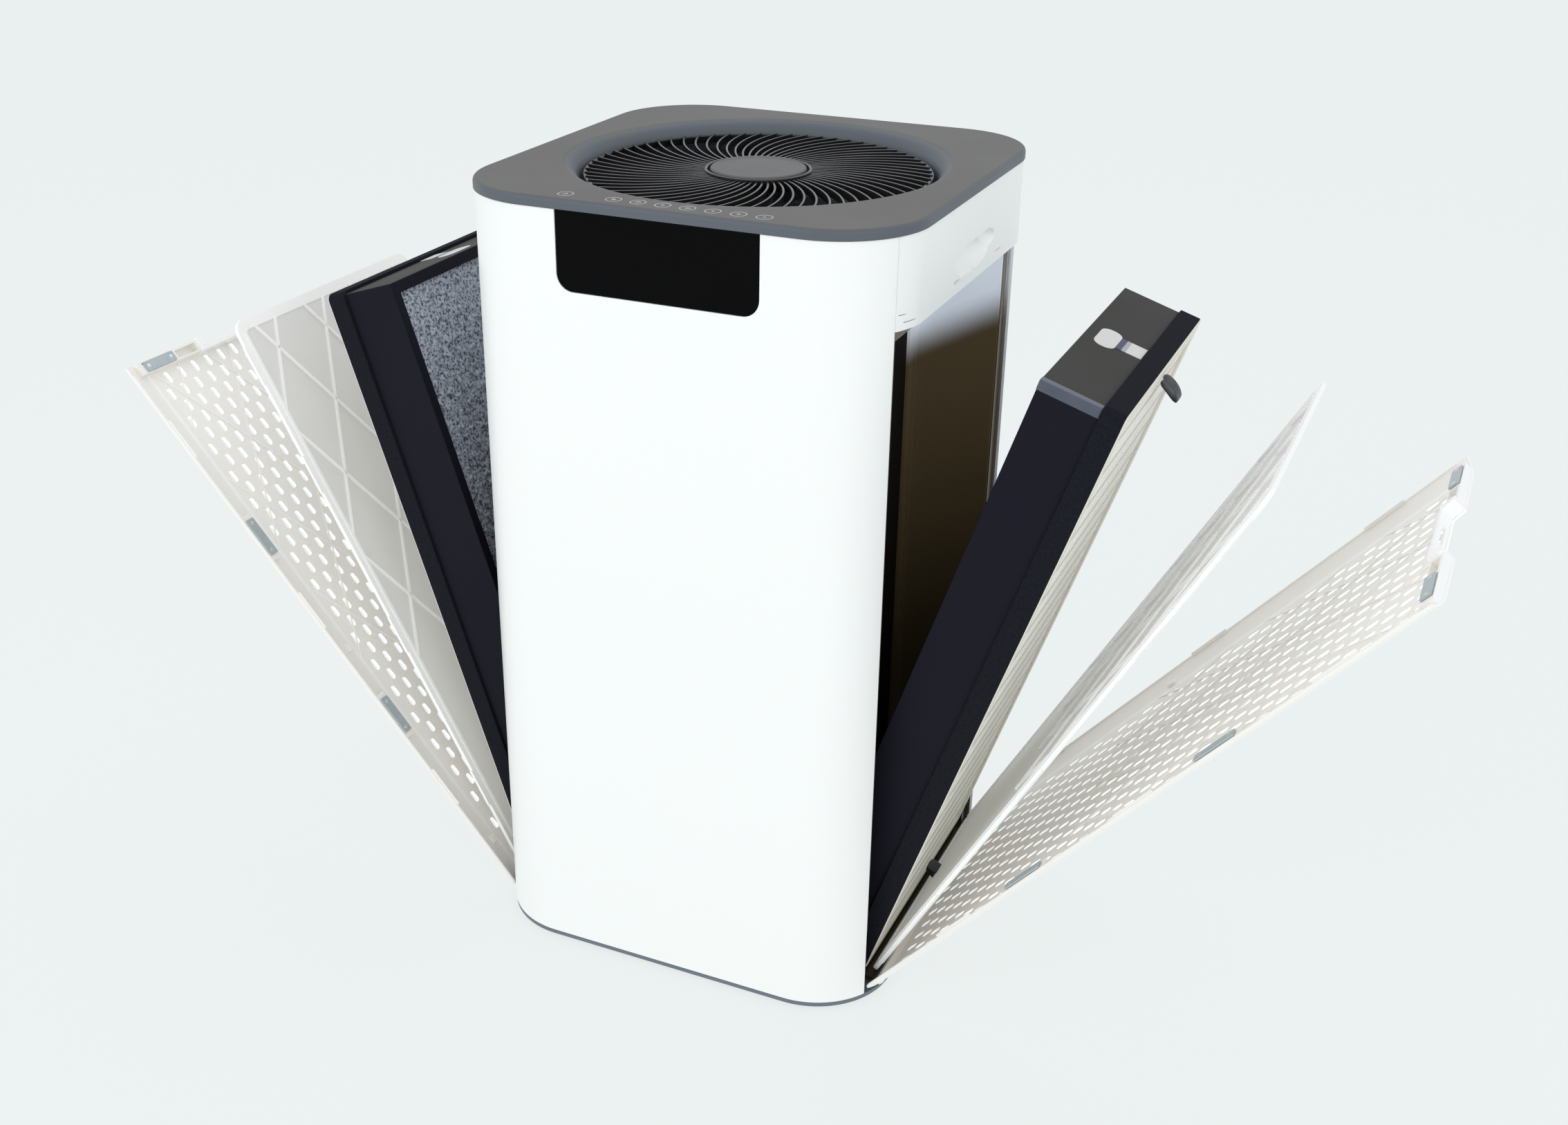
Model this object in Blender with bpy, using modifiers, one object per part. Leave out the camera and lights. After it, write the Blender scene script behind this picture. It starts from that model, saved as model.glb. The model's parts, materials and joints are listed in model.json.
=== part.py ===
"""Tower air purifier with a filter bay on each side, in metres, +Z up.

The front faces -Y and the origin is on the floor under the centre of the tower.
Each side holds a cover, a pre-filter and a composite filter. They tilt outward
about their bottom edges and are stored fanned out.
"""

import math

import bpy
import bmesh
from mathutils import Matrix, Vector

# Tower
HALF_WIDTH = 0.180
CORNER_RADIUS = 0.070
TOTAL_HEIGHT = 0.664
WALL = 0.0025
SEAM_ANGLE = 60.0                  # where a corner changes from end shell to side, from the end face
SEAM_GAP_ANGLE = 0.4               # half of the seam's gap, as an angle on the corner
FIT_GAP = 0.0004
CORNER_STEPS = 8

# Heights, from the floor up
FOOT_HEIGHT = 0.003
FOOT_SPREAD = 0.120
BASE_TOP = 0.0070
SHELL_BOTTOM = 0.0074
DECK_BOTTOM = 0.5878
PLATE_HEIGHT = 0.008
PLATE_BOTTOM = TOTAL_HEIGHT - PLATE_HEIGHT
SHELL_TOP = PLATE_BOTTOM - FIT_GAP

# Top plate and air outlet
PLATE_OVERHANG = 0.001
BOWL_RADIUS = 0.1437
GRILLE_RADIUS = 0.1375
GRILLE_DROP = 0.0142
HUB_RADIUS = 0.038
HUB_DROP = 0.0064
FIN_COUNT = 36
FIN_SWEEP = math.radians(-22.0)

# Fan, blowing upward through a ring in the fan deck
FAN_DECK_Z = 0.5890
DUCT_RADIUS = 0.1310
DUCT_TOP = 0.6330
FAN_RADIUS = 0.1275
FAN_HUB_RADIUS = 0.0400
BLADE_COUNT = 9
SHAFT_RADIUS = 0.0040
MOTOR_RADIUS = 0.0340

# Display in the front shell
DISPLAY_WIDTH = 0.162
DISPLAY_HEIGHT = 0.060
DISPLAY_RADIUS = 0.013

# Side openings
LINER_INNER_X = 0.0930
LINER_FACE_X = 0.1652
LINER_HALF = 0.1325
LINER_TOP = 0.5875
FLANGE_HALF = 0.1465
OPENING_HALF = 0.1300
OPENING_TOP = 0.5765
SILL_Z = 0.0140
WINDOW_HALF = 0.1080
WINDOW_BOTTOM = 0.0500
WINDOW_TOP = 0.5400

# Finger scoop in the deck over each opening
SCOOP_CENTRE = (0.1820, 0.0, 0.6085)
SCOOP_RADII = (0.0140, 0.0500, 0.0130)

# Closed stack of one side: where each piece's bottom edge pivots, and how far it tilts out
COVER_PIVOT = Vector((0.1796, 0.0, 0.0078))
COVER_ANGLE = math.radians(40.5)
COVER_LENGTH = 0.5790
COVER_PAD_X = 0.1685
COVER_PAD_HALF = 0.1310
COVER_PAD_END = 0.1434
COVER_RAIL_X = 0.1695
PREFILTER_PIVOT = Vector((0.1715, 0.0, 0.0150))
PREFILTER_ANGLE = math.radians(28.5)
PREFILTER_LENGTH = 0.5580
PREFILTER_HALF = 0.1280
PREFILTER_DEPTH = 0.0038
FILTER_PIVOT = Vector((0.1630, 0.0, 0.0160))
FILTER_ANGLE = math.radians(18.0)
FILTER_LENGTH = 0.5550
FILTER_HALF = 0.1265
FILTER_DEPTH = 0.0660
FLANGE_DEPTH = 0.0180
FLANGE_LIP = 0.0030
FRAME_WALL = 0.0130
TAB_LENGTH = 0.0450
TAB_WIDTH = 0.0250
TAB_INSET = 0.0100

# Magnet plates on a cover, with their heights above the cover's bottom edge
MAGNET_LENGTH = 0.038
MAGNET_WIDTH = 0.0095
MAGNET_THICKNESS = 0.0015
SIDE_MAGNET_HEIGHTS = (0.190, 0.390)
TOP_MAGNET_Y = 0.106

COLOURS = {
    "white_plastic": ((0.90, 0.90, 0.88), 0.38, 0.0),
    "cream_plastic": ((0.84, 0.82, 0.76), 0.45, 0.0),
    "grey_plastic": ((0.14, 0.14, 0.135), 0.55, 0.0),
    "black_plastic": ((0.012, 0.012, 0.016), 0.40, 0.0),
    "black_gloss": ((0.004, 0.004, 0.005), 0.08, 0.0),
    "dark_liner": ((0.045, 0.038, 0.028), 0.35, 0.0),
    "black_board": ((0.010, 0.010, 0.014), 0.70, 0.0),
    "white_media": ((0.86, 0.86, 0.82), 0.90, 0.0),
    "carbon": ((0.05, 0.06, 0.08), 0.60, 0.0),
    "steel": ((0.55, 0.60, 0.62), 0.30, 1.0),
    "rubber": ((0.020, 0.020, 0.020), 0.85, 0.0),
    "circuit_board": ((0.010, 0.090, 0.040), 0.45, 0.0),
    "black_fabric": ((0.010, 0.010, 0.012), 0.90, 0.0),
}


def clear_scene():
    for existing in list(bpy.data.objects):
        bpy.data.objects.remove(existing, do_unlink=True)


def new_collection(name):
    collection = bpy.data.collections.new(name)
    bpy.context.scene.collection.children.link(collection)
    return collection


def give_material(part, kind):
    """Gives the part a material of its own, in one of the shared colours."""
    colour, roughness, metallic = COLOURS[kind]
    material = bpy.data.materials.new(f"{part.name}_{kind}")
    material.use_nodes = True
    shader = material.node_tree.nodes["Principled BSDF"]
    shader.inputs["Base Color"].default_value = (*colour, 1.0)
    shader.inputs["Roughness"].default_value = roughness
    shader.inputs["Metallic"].default_value = metallic
    part.data.materials.append(material)


def add_part(name, mesh, kind, parent=None):
    part = bpy.data.objects.new(name, mesh)
    parts.objects.link(part)
    part.parent = parent
    give_material(part, kind)
    return part


def hide_cutter(cutter):
    cutter.hide_render = True
    cutter.display_type = "WIRE"
    return cutter


def combine(part, tool, operation):
    """Joins the tool to the part, or cuts it away, with an exact Boolean."""
    boolean = part.modifiers.new(f"{operation.lower()}_{tool.name}", "BOOLEAN")
    boolean.object = tool
    boolean.operation = operation
    boolean.solver = "EXACT"


def tool_from_mesh(name, mesh, parent=None):
    tool = bpy.data.objects.new(name, mesh)
    cutters.objects.link(tool)
    tool.parent = parent
    return hide_cutter(tool)


def box_mesh(name, low, high):
    """A box between two corners, as a mesh in its parent's frame."""
    low, high = Vector(low), Vector(high)
    solid = bmesh.new()
    bmesh.ops.create_cube(solid, size=1.0)
    bmesh.ops.scale(solid, vec=high - low, verts=solid.verts)
    bmesh.ops.translate(solid, vec=(low + high) / 2, verts=solid.verts)
    mesh = bpy.data.meshes.new(name)
    solid.to_mesh(mesh)
    solid.free()
    return mesh


def disc_mesh(name, radius, bottom, top, segments=48, centre=(0.0, 0.0)):
    """An upright cylinder between two heights."""
    solid = bmesh.new()
    place = Matrix.Translation((centre[0], centre[1], (bottom + top) / 2))
    bmesh.ops.create_cone(solid, cap_ends=True, segments=segments, radius1=radius, radius2=radius,
                          depth=top - bottom, matrix=place)
    mesh = bpy.data.meshes.new(name)
    solid.to_mesh(mesh)
    solid.free()
    smooth_by_angle(mesh)
    return mesh


def smooth_by_angle(mesh, angle=math.radians(35.0)):
    mesh.shade_smooth()
    mesh.set_sharp_from_angle(angle=angle)


def outline_mesh(name, loops, bottom, top):
    """A flat outline, with any holes, extruded upward between two heights."""
    curve = bpy.data.curves.new(name, "CURVE")
    curve.dimensions = "2D"
    curve.fill_mode = "BOTH"
    curve.extrude = (top - bottom) / 2
    for loop in loops:
        spline = curve.splines.new("POLY")
        spline.points.add(len(loop) - 1)
        for point, (x, y) in zip(spline.points, loop):
            point.co = (x, y, 0.0, 1.0)
        spline.use_cyclic_u = True
    guide = bpy.data.objects.new(name, curve)
    cutters.objects.link(guide)
    bpy.context.view_layer.update()
    mesh = bpy.data.meshes.new_from_object(guide.evaluated_get(bpy.context.evaluated_depsgraph_get()))
    bpy.data.objects.remove(guide, do_unlink=True)
    solid = bmesh.new()
    solid.from_mesh(mesh)
    bmesh.ops.remove_doubles(solid, verts=solid.verts, dist=0.00001)
    bmesh.ops.translate(solid, vec=(0.0, 0.0, (bottom + top) / 2), verts=solid.verts)
    bmesh.ops.recalc_face_normals(solid, faces=solid.faces)
    solid.to_mesh(mesh)
    solid.free()
    smooth_by_angle(mesh)
    return mesh


def upright(mesh):
    """Turns an outline drawn as (across, up) and extruded in depth to stand facing +X."""
    turn = Matrix(((0, 0, 1, 0), (1, 0, 0, 0), (0, 1, 0, 0), (0, 0, 0, 1)))
    mesh.transform(turn)
    return mesh


def facing_front(mesh):
    """Turns an outline drawn as (across, up) and extruded in depth to stand facing -Y."""
    turn = Matrix(((1, 0, 0, 0), (0, 0, -1, 0), (0, 1, 0, 0), (0, 0, 0, 1)))
    mesh.transform(turn)
    return mesh


def arc(centre, radius, start, end, steps=CORNER_STEPS):
    """Points on an arc, with angles in degrees."""
    points = []
    for step in range(steps + 1):
        angle = math.radians(start + (end - start) * step / steps)
        points.append((centre[0] + radius * math.cos(angle), centre[1] + radius * math.sin(angle)))
    return points


def rounded_rectangle(half_x, half_y, radius, middle=(0.0, 0.0), steps=CORNER_STEPS):
    points = []
    for side_x, side_y, start in ((1, 1, 0), (-1, 1, 90), (-1, -1, 180), (1, -1, 270)):
        centre = (middle[0] + side_x * (half_x - radius), middle[1] + side_y * (half_y - radius))
        points += arc(centre, radius, start, start + 90, steps)
    return points


def tower_outline(inset):
    return rounded_rectangle(HALF_WIDTH - inset, HALF_WIDTH - inset, CORNER_RADIUS - inset)


CORNER_CENTRE = HALF_WIDTH - CORNER_RADIUS


def end_wall(inset):
    """Plan points along the front, from the left seam round to the right seam."""
    radius = CORNER_RADIUS - inset
    reach = SEAM_ANGLE - SEAM_GAP_ANGLE
    left = arc((-CORNER_CENTRE, -CORNER_CENTRE), radius, 270 - reach, 270)
    right = arc((CORNER_CENTRE, -CORNER_CENTRE), radius, 270, 270 + reach)
    return left + right


def side_wall(inset, reach=90.0 - SEAM_ANGLE - SEAM_GAP_ANGLE):
    """Plan points along the right side, from the front seam to the rear seam."""
    radius = CORNER_RADIUS - inset
    front = arc((CORNER_CENTRE, -CORNER_CENTRE), radius, -reach, 0, 4)
    rear = arc((CORNER_CENTRE, CORNER_CENTRE), radius, 0, reach, 4)
    return front + rear


def band(path_at, outer, inner):
    """The closed plan outline of a wall between two insets of the same path."""
    return path_at(outer) + path_at(inner)[::-1]


def turned_mesh(name, profile, segments=64):
    """A closed profile of (radius, height) points turned about Z by a Screw modifier."""
    wire = bmesh.new()
    ring = [wire.verts.new((radius, 0.0, height)) for radius, height in profile]
    for start, end in zip(ring, ring[1:] + ring[:1]):
        wire.edges.new((start, end))
    mesh = bpy.data.meshes.new(name)
    wire.to_mesh(mesh)
    wire.free()
    guide = bpy.data.objects.new(name, mesh)
    cutters.objects.link(guide)
    screw = guide.modifiers.new("turn", "SCREW")
    screw.steps = segments
    screw.render_steps = segments
    screw.use_merge_vertices = True
    screw.merge_threshold = 0.00001
    bpy.context.view_layer.update()
    turned = bpy.data.meshes.new_from_object(guide.evaluated_get(bpy.context.evaluated_depsgraph_get()))
    bpy.data.objects.remove(guide, do_unlink=True)
    solid = bmesh.new()
    solid.from_mesh(turned)
    bmesh.ops.remove_doubles(solid, verts=solid.verts, dist=0.00001)
    bmesh.ops.recalc_face_normals(solid, faces=solid.faces)
    solid.to_mesh(turned)
    solid.free()
    smooth_by_angle(turned)
    return turned


def vane_tool(name, count, inner_radius, outer_radius, angle_at, heights_at, thickness, steps=6):
    """Equal vanes round Z, each an open strip that a Solidify modifier thickens.

    angle_at gives a vane's direction at a fraction of the way out, and heights_at
    its bottom, its top, and the angle by which its top edge leads.
    """
    vanes = bmesh.new()
    for index in range(count):
        start = 2 * math.pi * index / count
        bottom_row, top_row = [], []
        for step in range(steps + 1):
            fraction = step / steps
            radius = inner_radius + (outer_radius - inner_radius) * fraction
            bottom, top, skew = heights_at(fraction)
            angle = start + angle_at(fraction)
            bottom_row.append(vanes.verts.new((radius * math.cos(angle), radius * math.sin(angle), bottom)))
            lean = angle + skew
            top_row.append(vanes.verts.new((radius * math.cos(lean), radius * math.sin(lean), top)))
        for step in range(steps):
            vanes.faces.new((bottom_row[step], bottom_row[step + 1], top_row[step + 1], top_row[step]))
    mesh = bpy.data.meshes.new(name)
    vanes.to_mesh(mesh)
    vanes.free()
    tool = tool_from_mesh(name, mesh)
    solidify = tool.modifiers.new("thickness", "SOLIDIFY")
    solidify.thickness = thickness
    solidify.offset = 0.0
    return tool


def add_pivot(name, location, angle=0.0, parent=None):
    pivot = bpy.data.objects.new(name, None)
    parts.objects.link(pivot)
    pivot.parent = parent
    pivot.location = location
    pivot.rotation_euler = (0.0, angle, 0.0)
    return pivot


# ---------------------------------------------------------------- tower

def build_base():
    plate = outline_mesh("base_plate", [tower_outline(0.0006)], FOOT_HEIGHT, BASE_TOP)
    base = add_part("base_plate", plate, "grey_plastic")
    tray = outline_mesh("base_tray", [tower_outline(0.016)], BASE_TOP - 0.001, 0.0100)
    combine(base, tool_from_mesh("base_tray", tray), "UNION")
    corners = (("front_left", -1, -1), ("front_right", 1, -1), ("rear_left", -1, 1), ("rear_right", 1, 1))
    for name, x, y in corners:
        centre = (x * FOOT_SPREAD, y * FOOT_SPREAD)
        foot = disc_mesh(f"foot_{name}", 0.0120, 0.0, FOOT_HEIGHT - 0.0003, 24, centre)
        add_part(f"foot_{name}", foot, "rubber")


def display_outline(margin):
    """Square top corners and rounded bottom corners, as (across, up) points."""
    half = DISPLAY_WIDTH / 2 + margin
    top = SHELL_TOP - 0.0003 + margin
    bottom = SHELL_TOP - DISPLAY_HEIGHT - margin
    radius = DISPLAY_RADIUS + margin
    left = arc((-half + radius, bottom + radius), radius, 180, 270, 6)
    right = arc((half - radius, bottom + radius), radius, 270, 360, 6)
    return left + right + [(half, top), (-half, top)]


def build_shells():
    front = add_part("front_shell", outline_mesh("front_shell", [band(end_wall, 0.0, WALL)],
                                                 SHELL_BOTTOM, SHELL_TOP), "white_plastic")
    window_cut = facing_front(outline_mesh("display_cut", [display_outline(0.0004)], 0.15, 0.20))
    combine(front, tool_from_mesh("display_cut", window_cut), "DIFFERENCE")

    rear_mesh = outline_mesh("rear_shell", [band(end_wall, 0.0, WALL)], SHELL_BOTTOM, SHELL_TOP)
    rear_mesh.transform(Matrix.Rotation(math.pi, 4, "Z"))
    rear = add_part("rear_shell", rear_mesh, "white_plastic")
    inlet_cut = box_mesh("inlet_cut", (-0.0144, 0.17, 0.0346), (0.0144, 0.19, 0.0554))
    combine(rear, tool_from_mesh("inlet_cut", inlet_cut), "DIFFERENCE")
    sensor_cut = box_mesh("sensor_cut", (-0.0264, 0.17, 0.4496), (0.0264, 0.19, 0.4704))
    combine(rear, tool_from_mesh("sensor_cut", sensor_cut), "DIFFERENCE")


def build_display():
    """The window sits flush in the front shell, with its circuit board behind it."""
    window = facing_front(outline_mesh("display_window", [display_outline(0.0)],
                                       HALF_WIDTH - 0.0028, HALF_WIDTH - 0.0002))
    add_part("display_window", window, "black_gloss")
    add_part("display_board", box_mesh("display_board", (-0.070, -0.1755, 0.600), (0.070, -0.1739, 0.650)),
             "circuit_board")
    add_part("touch_key_board", box_mesh("touch_key_board", (-0.088, -0.1735, PLATE_BOTTOM + 0.0025),
                                         (0.088, -0.1555, PLATE_BOTTOM + 0.0041)), "circuit_board")


def build_top_plate():
    """A hollow plate with a bowl that falls to the air outlet."""
    outer = rounded_rectangle(HALF_WIDTH + PLATE_OVERHANG, HALF_WIDTH + PLATE_OVERHANG,
                              CORNER_RADIUS + PLATE_OVERHANG)
    plate = add_part("top_plate", outline_mesh("top_plate", [outer], PLATE_BOTTOM, TOTAL_HEIGHT),
                     "grey_plastic")
    bevel = plate.modifiers.new("soft_rim", "BEVEL")
    bevel.width = 0.0022
    bevel.segments = 2
    bevel.limit_method = "ANGLE"
    hollow = outline_mesh("plate_hollow", [tower_outline(0.003)], PLATE_BOTTOM - 0.01, TOTAL_HEIGHT - 0.003)
    combine(plate, tool_from_mesh("plate_hollow", hollow), "DIFFERENCE")
    grille_top = TOTAL_HEIGHT - GRILLE_DROP
    collar = turned_mesh("outlet_collar", [(0.1390, TOTAL_HEIGHT - 0.0010), (0.1475, TOTAL_HEIGHT - 0.0010),
                                           (0.1420, grille_top - 0.0080), (0.1390, grille_top - 0.0080)])
    combine(plate, tool_from_mesh("outlet_collar", collar), "UNION")
    bowl_profile = [(0.0, TOTAL_HEIGHT + 0.01), (BOWL_RADIUS + 0.004, TOTAL_HEIGHT + 0.01)]
    for step in range(5):
        turn = math.radians(90.0 * step / 4)
        bowl_profile.append((BOWL_RADIUS - 0.003 * math.sin(turn) + 0.003,
                             TOTAL_HEIGHT + 0.0005 - 0.0035 * (1 - math.cos(turn))))
    bowl_profile += [(GRILLE_RADIUS + 0.0025, grille_top), (GRILLE_RADIUS + 0.0025, 0.60), (0.0, 0.60)]
    combine(plate, tool_from_mesh("bowl", turned_mesh("bowl", bowl_profile)), "DIFFERENCE")


def build_outlet():
    """Swirl-curved fins between two rings, and the cap in the middle."""
    ring_top = TOTAL_HEIGHT - GRILLE_DROP
    hub_top = TOTAL_HEIGHT - HUB_DROP - 0.001
    outer = [(GRILLE_RADIUS - 0.003, ring_top - 0.008), (GRILLE_RADIUS, ring_top - 0.008),
             (GRILLE_RADIUS, ring_top), (GRILLE_RADIUS - 0.003, ring_top)]
    grille = add_part("outlet_grille", turned_mesh("outlet_grille", outer, 72), "black_plastic")
    inner = [(HUB_RADIUS - 0.006, hub_top - 0.010), (HUB_RADIUS + 0.0045, hub_top - 0.010),
             (HUB_RADIUS + 0.0045, hub_top), (HUB_RADIUS + 0.0010, hub_top),
             (HUB_RADIUS + 0.0010, hub_top - 0.005), (HUB_RADIUS - 0.006, hub_top - 0.005)]
    hub_ring = turned_mesh("grille_hub_ring", inner, 48)
    start, end = HUB_RADIUS + 0.0025, GRILLE_RADIUS - 0.0015

    def swirl(fraction):
        return FIN_SWEEP * fraction ** 1.2

    def heights(fraction):
        top = hub_top - 0.0015 + (ring_top - 0.001 - hub_top + 0.0015) * fraction
        return top - 0.0062, top, 0.0

    fins = vane_tool("grille_fins", FIN_COUNT, start, end, swirl, heights, 0.0018, steps=4)
    combine(grille, fins, "UNION")
    combine(grille, tool_from_mesh("grille_hub_ring", hub_ring), "UNION")
    add_part("grille_cap", disc_mesh("grille_cap", HUB_RADIUS + 0.0004, hub_top - 0.0046, hub_top + 0.001),
             "grey_plastic")


def build_fan():
    """Fan deck with its ring, the motor under a four-armed bracket, and the rotor."""
    plate = outline_mesh("fan_deck", [tower_outline(0.0160)], FAN_DECK_Z, FAN_DECK_Z + 0.0025)
    deck = add_part("fan_deck", plate, "black_plastic")
    inside, outside, low = DUCT_RADIUS, DUCT_RADIUS + 0.003, FAN_DECK_Z + 0.001
    ring = turned_mesh("fan_ring", [(inside, low), (outside, low), (outside, DUCT_TOP), (inside, DUCT_TOP)])
    combine(deck, tool_from_mesh("fan_ring", ring), "UNION")
    eye = disc_mesh("fan_eye", DUCT_RADIUS + 0.0001, FAN_DECK_Z - 0.01, 0.66, 64)
    combine(deck, tool_from_mesh("fan_eye", eye), "DIFFERENCE")

    bracket = add_part("motor_bracket", disc_mesh("motor_bracket", 0.0370, 0.6334, 0.6362, 32), "steel")
    reach = DUCT_RADIUS + 0.002
    arm_along_x = box_mesh("bracket_arm_x", (-reach, -0.0070, 0.6338), (reach, 0.0070, 0.6358))
    arm_along_y = box_mesh("bracket_arm_y", (-0.0065, -reach, 0.6336), (0.0065, reach, 0.6356))
    combine(bracket, tool_from_mesh("bracket_arm_x", arm_along_x), "UNION")
    combine(bracket, tool_from_mesh("bracket_arm_y", arm_along_y), "UNION")

    motor = add_part("motor", disc_mesh("motor", MOTOR_RADIUS, 0.6060, 0.6330, 40), "steel")
    bore = disc_mesh("motor_bore", SHAFT_RADIUS + 0.0006, 0.600, 0.6260, 24)
    combine(motor, tool_from_mesh("motor_bore", bore), "DIFFERENCE")
    add_part("motor_shaft", disc_mesh("motor_shaft", SHAFT_RADIUS, 0.5925, 0.6250, 24), "steel")
    nut = add_part("rotor_nut", disc_mesh("rotor_nut", 0.0085, 0.5935, 0.5990, 6), "steel")
    nut_bore = disc_mesh("nut_bore", SHAFT_RADIUS + 0.0003, 0.58, 0.61, 24)
    combine(nut, tool_from_mesh("nut_bore", nut_bore), "DIFFERENCE")

    cup = [(SHAFT_RADIUS + 0.0003, 0.5993), (FAN_HUB_RADIUS - 0.004, 0.5993), (FAN_HUB_RADIUS, 0.6030),
           (FAN_HUB_RADIUS, 0.6270), (FAN_HUB_RADIUS - 0.0025, 0.6270), (FAN_HUB_RADIUS - 0.0025, 0.6030),
           (SHAFT_RADIUS + 0.0003, 0.6030)]
    rotor = add_part("fan_rotor", turned_mesh("fan_rotor", cup, 48), "black_plastic")

    def sweep(fraction):
        return 0.30 * fraction

    def heights(fraction):
        return 0.6020 + 0.003 * fraction, 0.6255 - 0.002 * fraction, 0.62 - 0.34 * fraction

    root = FAN_HUB_RADIUS - 0.0012
    combine(rotor, vane_tool("fan_blades", BLADE_COUNT, root, FAN_RADIUS, sweep, heights, 0.0020), "UNION")


def build_rear_fittings():
    """Power inlet, air quality sensor and main circuit board on the rear wall."""
    housing = box_mesh("power_inlet", (-0.0140, 0.1600, 0.0350), (0.0140, 0.1800, 0.0550))
    inlet = add_part("power_inlet", housing, "black_plastic")
    socket = box_mesh("inlet_socket", (-0.0115, 0.1640, 0.0385), (0.0115, 0.1850, 0.0515))
    combine(inlet, tool_from_mesh("inlet_socket", socket), "DIFFERENCE")
    for side in (-1, 1):
        pin = disc_mesh(f"inlet_pin_{side}", 0.0012, 0.0, 0.0145, 12)
        foot = Matrix.Translation((side * 0.0045, 0.1630, 0.0450))
        pin.transform(foot @ Matrix.Rotation(-math.pi / 2, 4, "X"))
        combine(inlet, tool_from_mesh(f"inlet_pin_{side}", pin), "UNION")

    sensor = add_part("air_quality_sensor", box_mesh("air_quality_sensor", (-0.0260, 0.1600, 0.4500),
                                                     (0.0260, 0.1798, 0.4700)), "black_plastic")
    for index in range(5):
        left = -0.0210 + index * 0.0090
        slot = box_mesh(f"sensor_slot_{index}", (left, 0.1700, 0.4530), (left + 0.0060, 0.1850, 0.4670))
        combine(sensor, tool_from_mesh(f"sensor_slot_{index}", slot), "DIFFERENCE")

    board = add_part("main_board", box_mesh("main_board", (-0.060, 0.1730, 0.300), (0.060, 0.1746, 0.400)),
                     "circuit_board")
    for name, low, high in (("transformer", (-0.050, 0.150, 0.310), (-0.015, 0.1735, 0.345)),
                            ("capacitor", (0.010, 0.155, 0.312), (0.028, 0.1735, 0.340)),
                            ("relay", (0.010, 0.158, 0.355), (0.045, 0.1735, 0.375))):
        combine(board, tool_from_mesh(name, box_mesh(name, low, high)), "UNION")


# ---------------------------------------------------------------- one side

def build_deck(side, place):
    """White band above the opening: an outer wall, a shelf, and a housing hollowed by the finger scoop."""
    shelf_depth = 0.0153
    outline = band(side_wall, 0.0, shelf_depth)
    deck = add_part(f"{side}_deck", outline_mesh("deck", [outline], DECK_BOTTOM, SHELL_TOP),
                    "white_plastic", place)
    hollow = outline_mesh("deck_hollow", [band(side_wall_long, WALL, 0.030)], DECK_BOTTOM + WALL, 0.70)
    combine(deck, tool_from_mesh(f"{side}_deck_hollow", hollow, place), "DIFFERENCE")
    housing = box_mesh("scoop_housing", (0.1655, -0.0600, DECK_BOTTOM + 0.0005), (0.1790, 0.0600, 0.6280))
    combine(deck, tool_from_mesh(f"{side}_scoop_housing", housing, place), "UNION")
    scoop = bmesh.new()
    bmesh.ops.create_uvsphere(scoop, u_segments=24, v_segments=12, radius=1.0)
    bmesh.ops.scale(scoop, vec=SCOOP_RADII, verts=scoop.verts)
    bmesh.ops.translate(scoop, vec=SCOOP_CENTRE, verts=scoop.verts)
    scoop_mesh = bpy.data.meshes.new("scoop")
    scoop.to_mesh(scoop_mesh)
    scoop.free()
    combine(deck, tool_from_mesh(f"{side}_scoop", scoop_mesh, place), "DIFFERENCE")


def side_wall_long(inset):
    """The side wall's plan path carried a little past both seams, for cutters."""
    return side_wall(inset, 33.0)


def build_liner(side, place):
    """Tray that holds the filter: open outward, with an air window inward and a flange round its mouth."""
    mouth = LINER_FACE_X
    tray = box_mesh("bay_liner", (LINER_INNER_X, -LINER_HALF, 0.0105),
                    (mouth - 0.0004, LINER_HALF, LINER_TOP))
    liner = add_part(f"{side}_bay_liner", tray, "dark_liner", place)
    flange = box_mesh("bay_flange", (mouth - 0.003, -FLANGE_HALF, 0.0108),
                      (mouth, FLANGE_HALF, LINER_TOP - 0.0005))
    combine(liner, tool_from_mesh(f"{side}_bay_flange", flange, place), "UNION")
    sill = box_mesh("bay_sill", (mouth - 0.006, -0.1295, 0.0107), (0.1720, 0.1295, SILL_Z - 0.0003))
    combine(liner, tool_from_mesh(f"{side}_bay_sill", sill, place), "UNION")
    cavity = box_mesh("bay_cavity", (LINER_INNER_X + WALL, -OPENING_HALF, SILL_Z),
                      (0.20, OPENING_HALF, OPENING_TOP))
    combine(liner, tool_from_mesh(f"{side}_bay_cavity", cavity, place), "DIFFERENCE")
    window = box_mesh("bay_window", (0.08, -WINDOW_HALF, WINDOW_BOTTOM), (0.10, WINDOW_HALF, WINDOW_TOP))
    combine(liner, tool_from_mesh(f"{side}_bay_window", window, place), "DIFFERENCE")

    guard_mesh = box_mesh("intake_guard", (0.0895, -WINDOW_HALF - 0.008, WINDOW_BOTTOM - 0.008),
                          (0.0926, WINDOW_HALF + 0.008, WINDOW_TOP + 0.008))
    guard = add_part(f"{side}_intake_guard", guard_mesh, "black_plastic", place)
    combine(guard, tool_from_mesh(f"{side}_guard_holes", join_meshes("guard_holes", guard_holes()), place),
            "DIFFERENCE")

    strip = upright(outline_mesh("strike_strip", [strike_outline()],
                                 LINER_FACE_X + 0.0003, LINER_FACE_X + 0.0010))
    add_part(f"{side}_strike_strip", strip, "steel", place)


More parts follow.
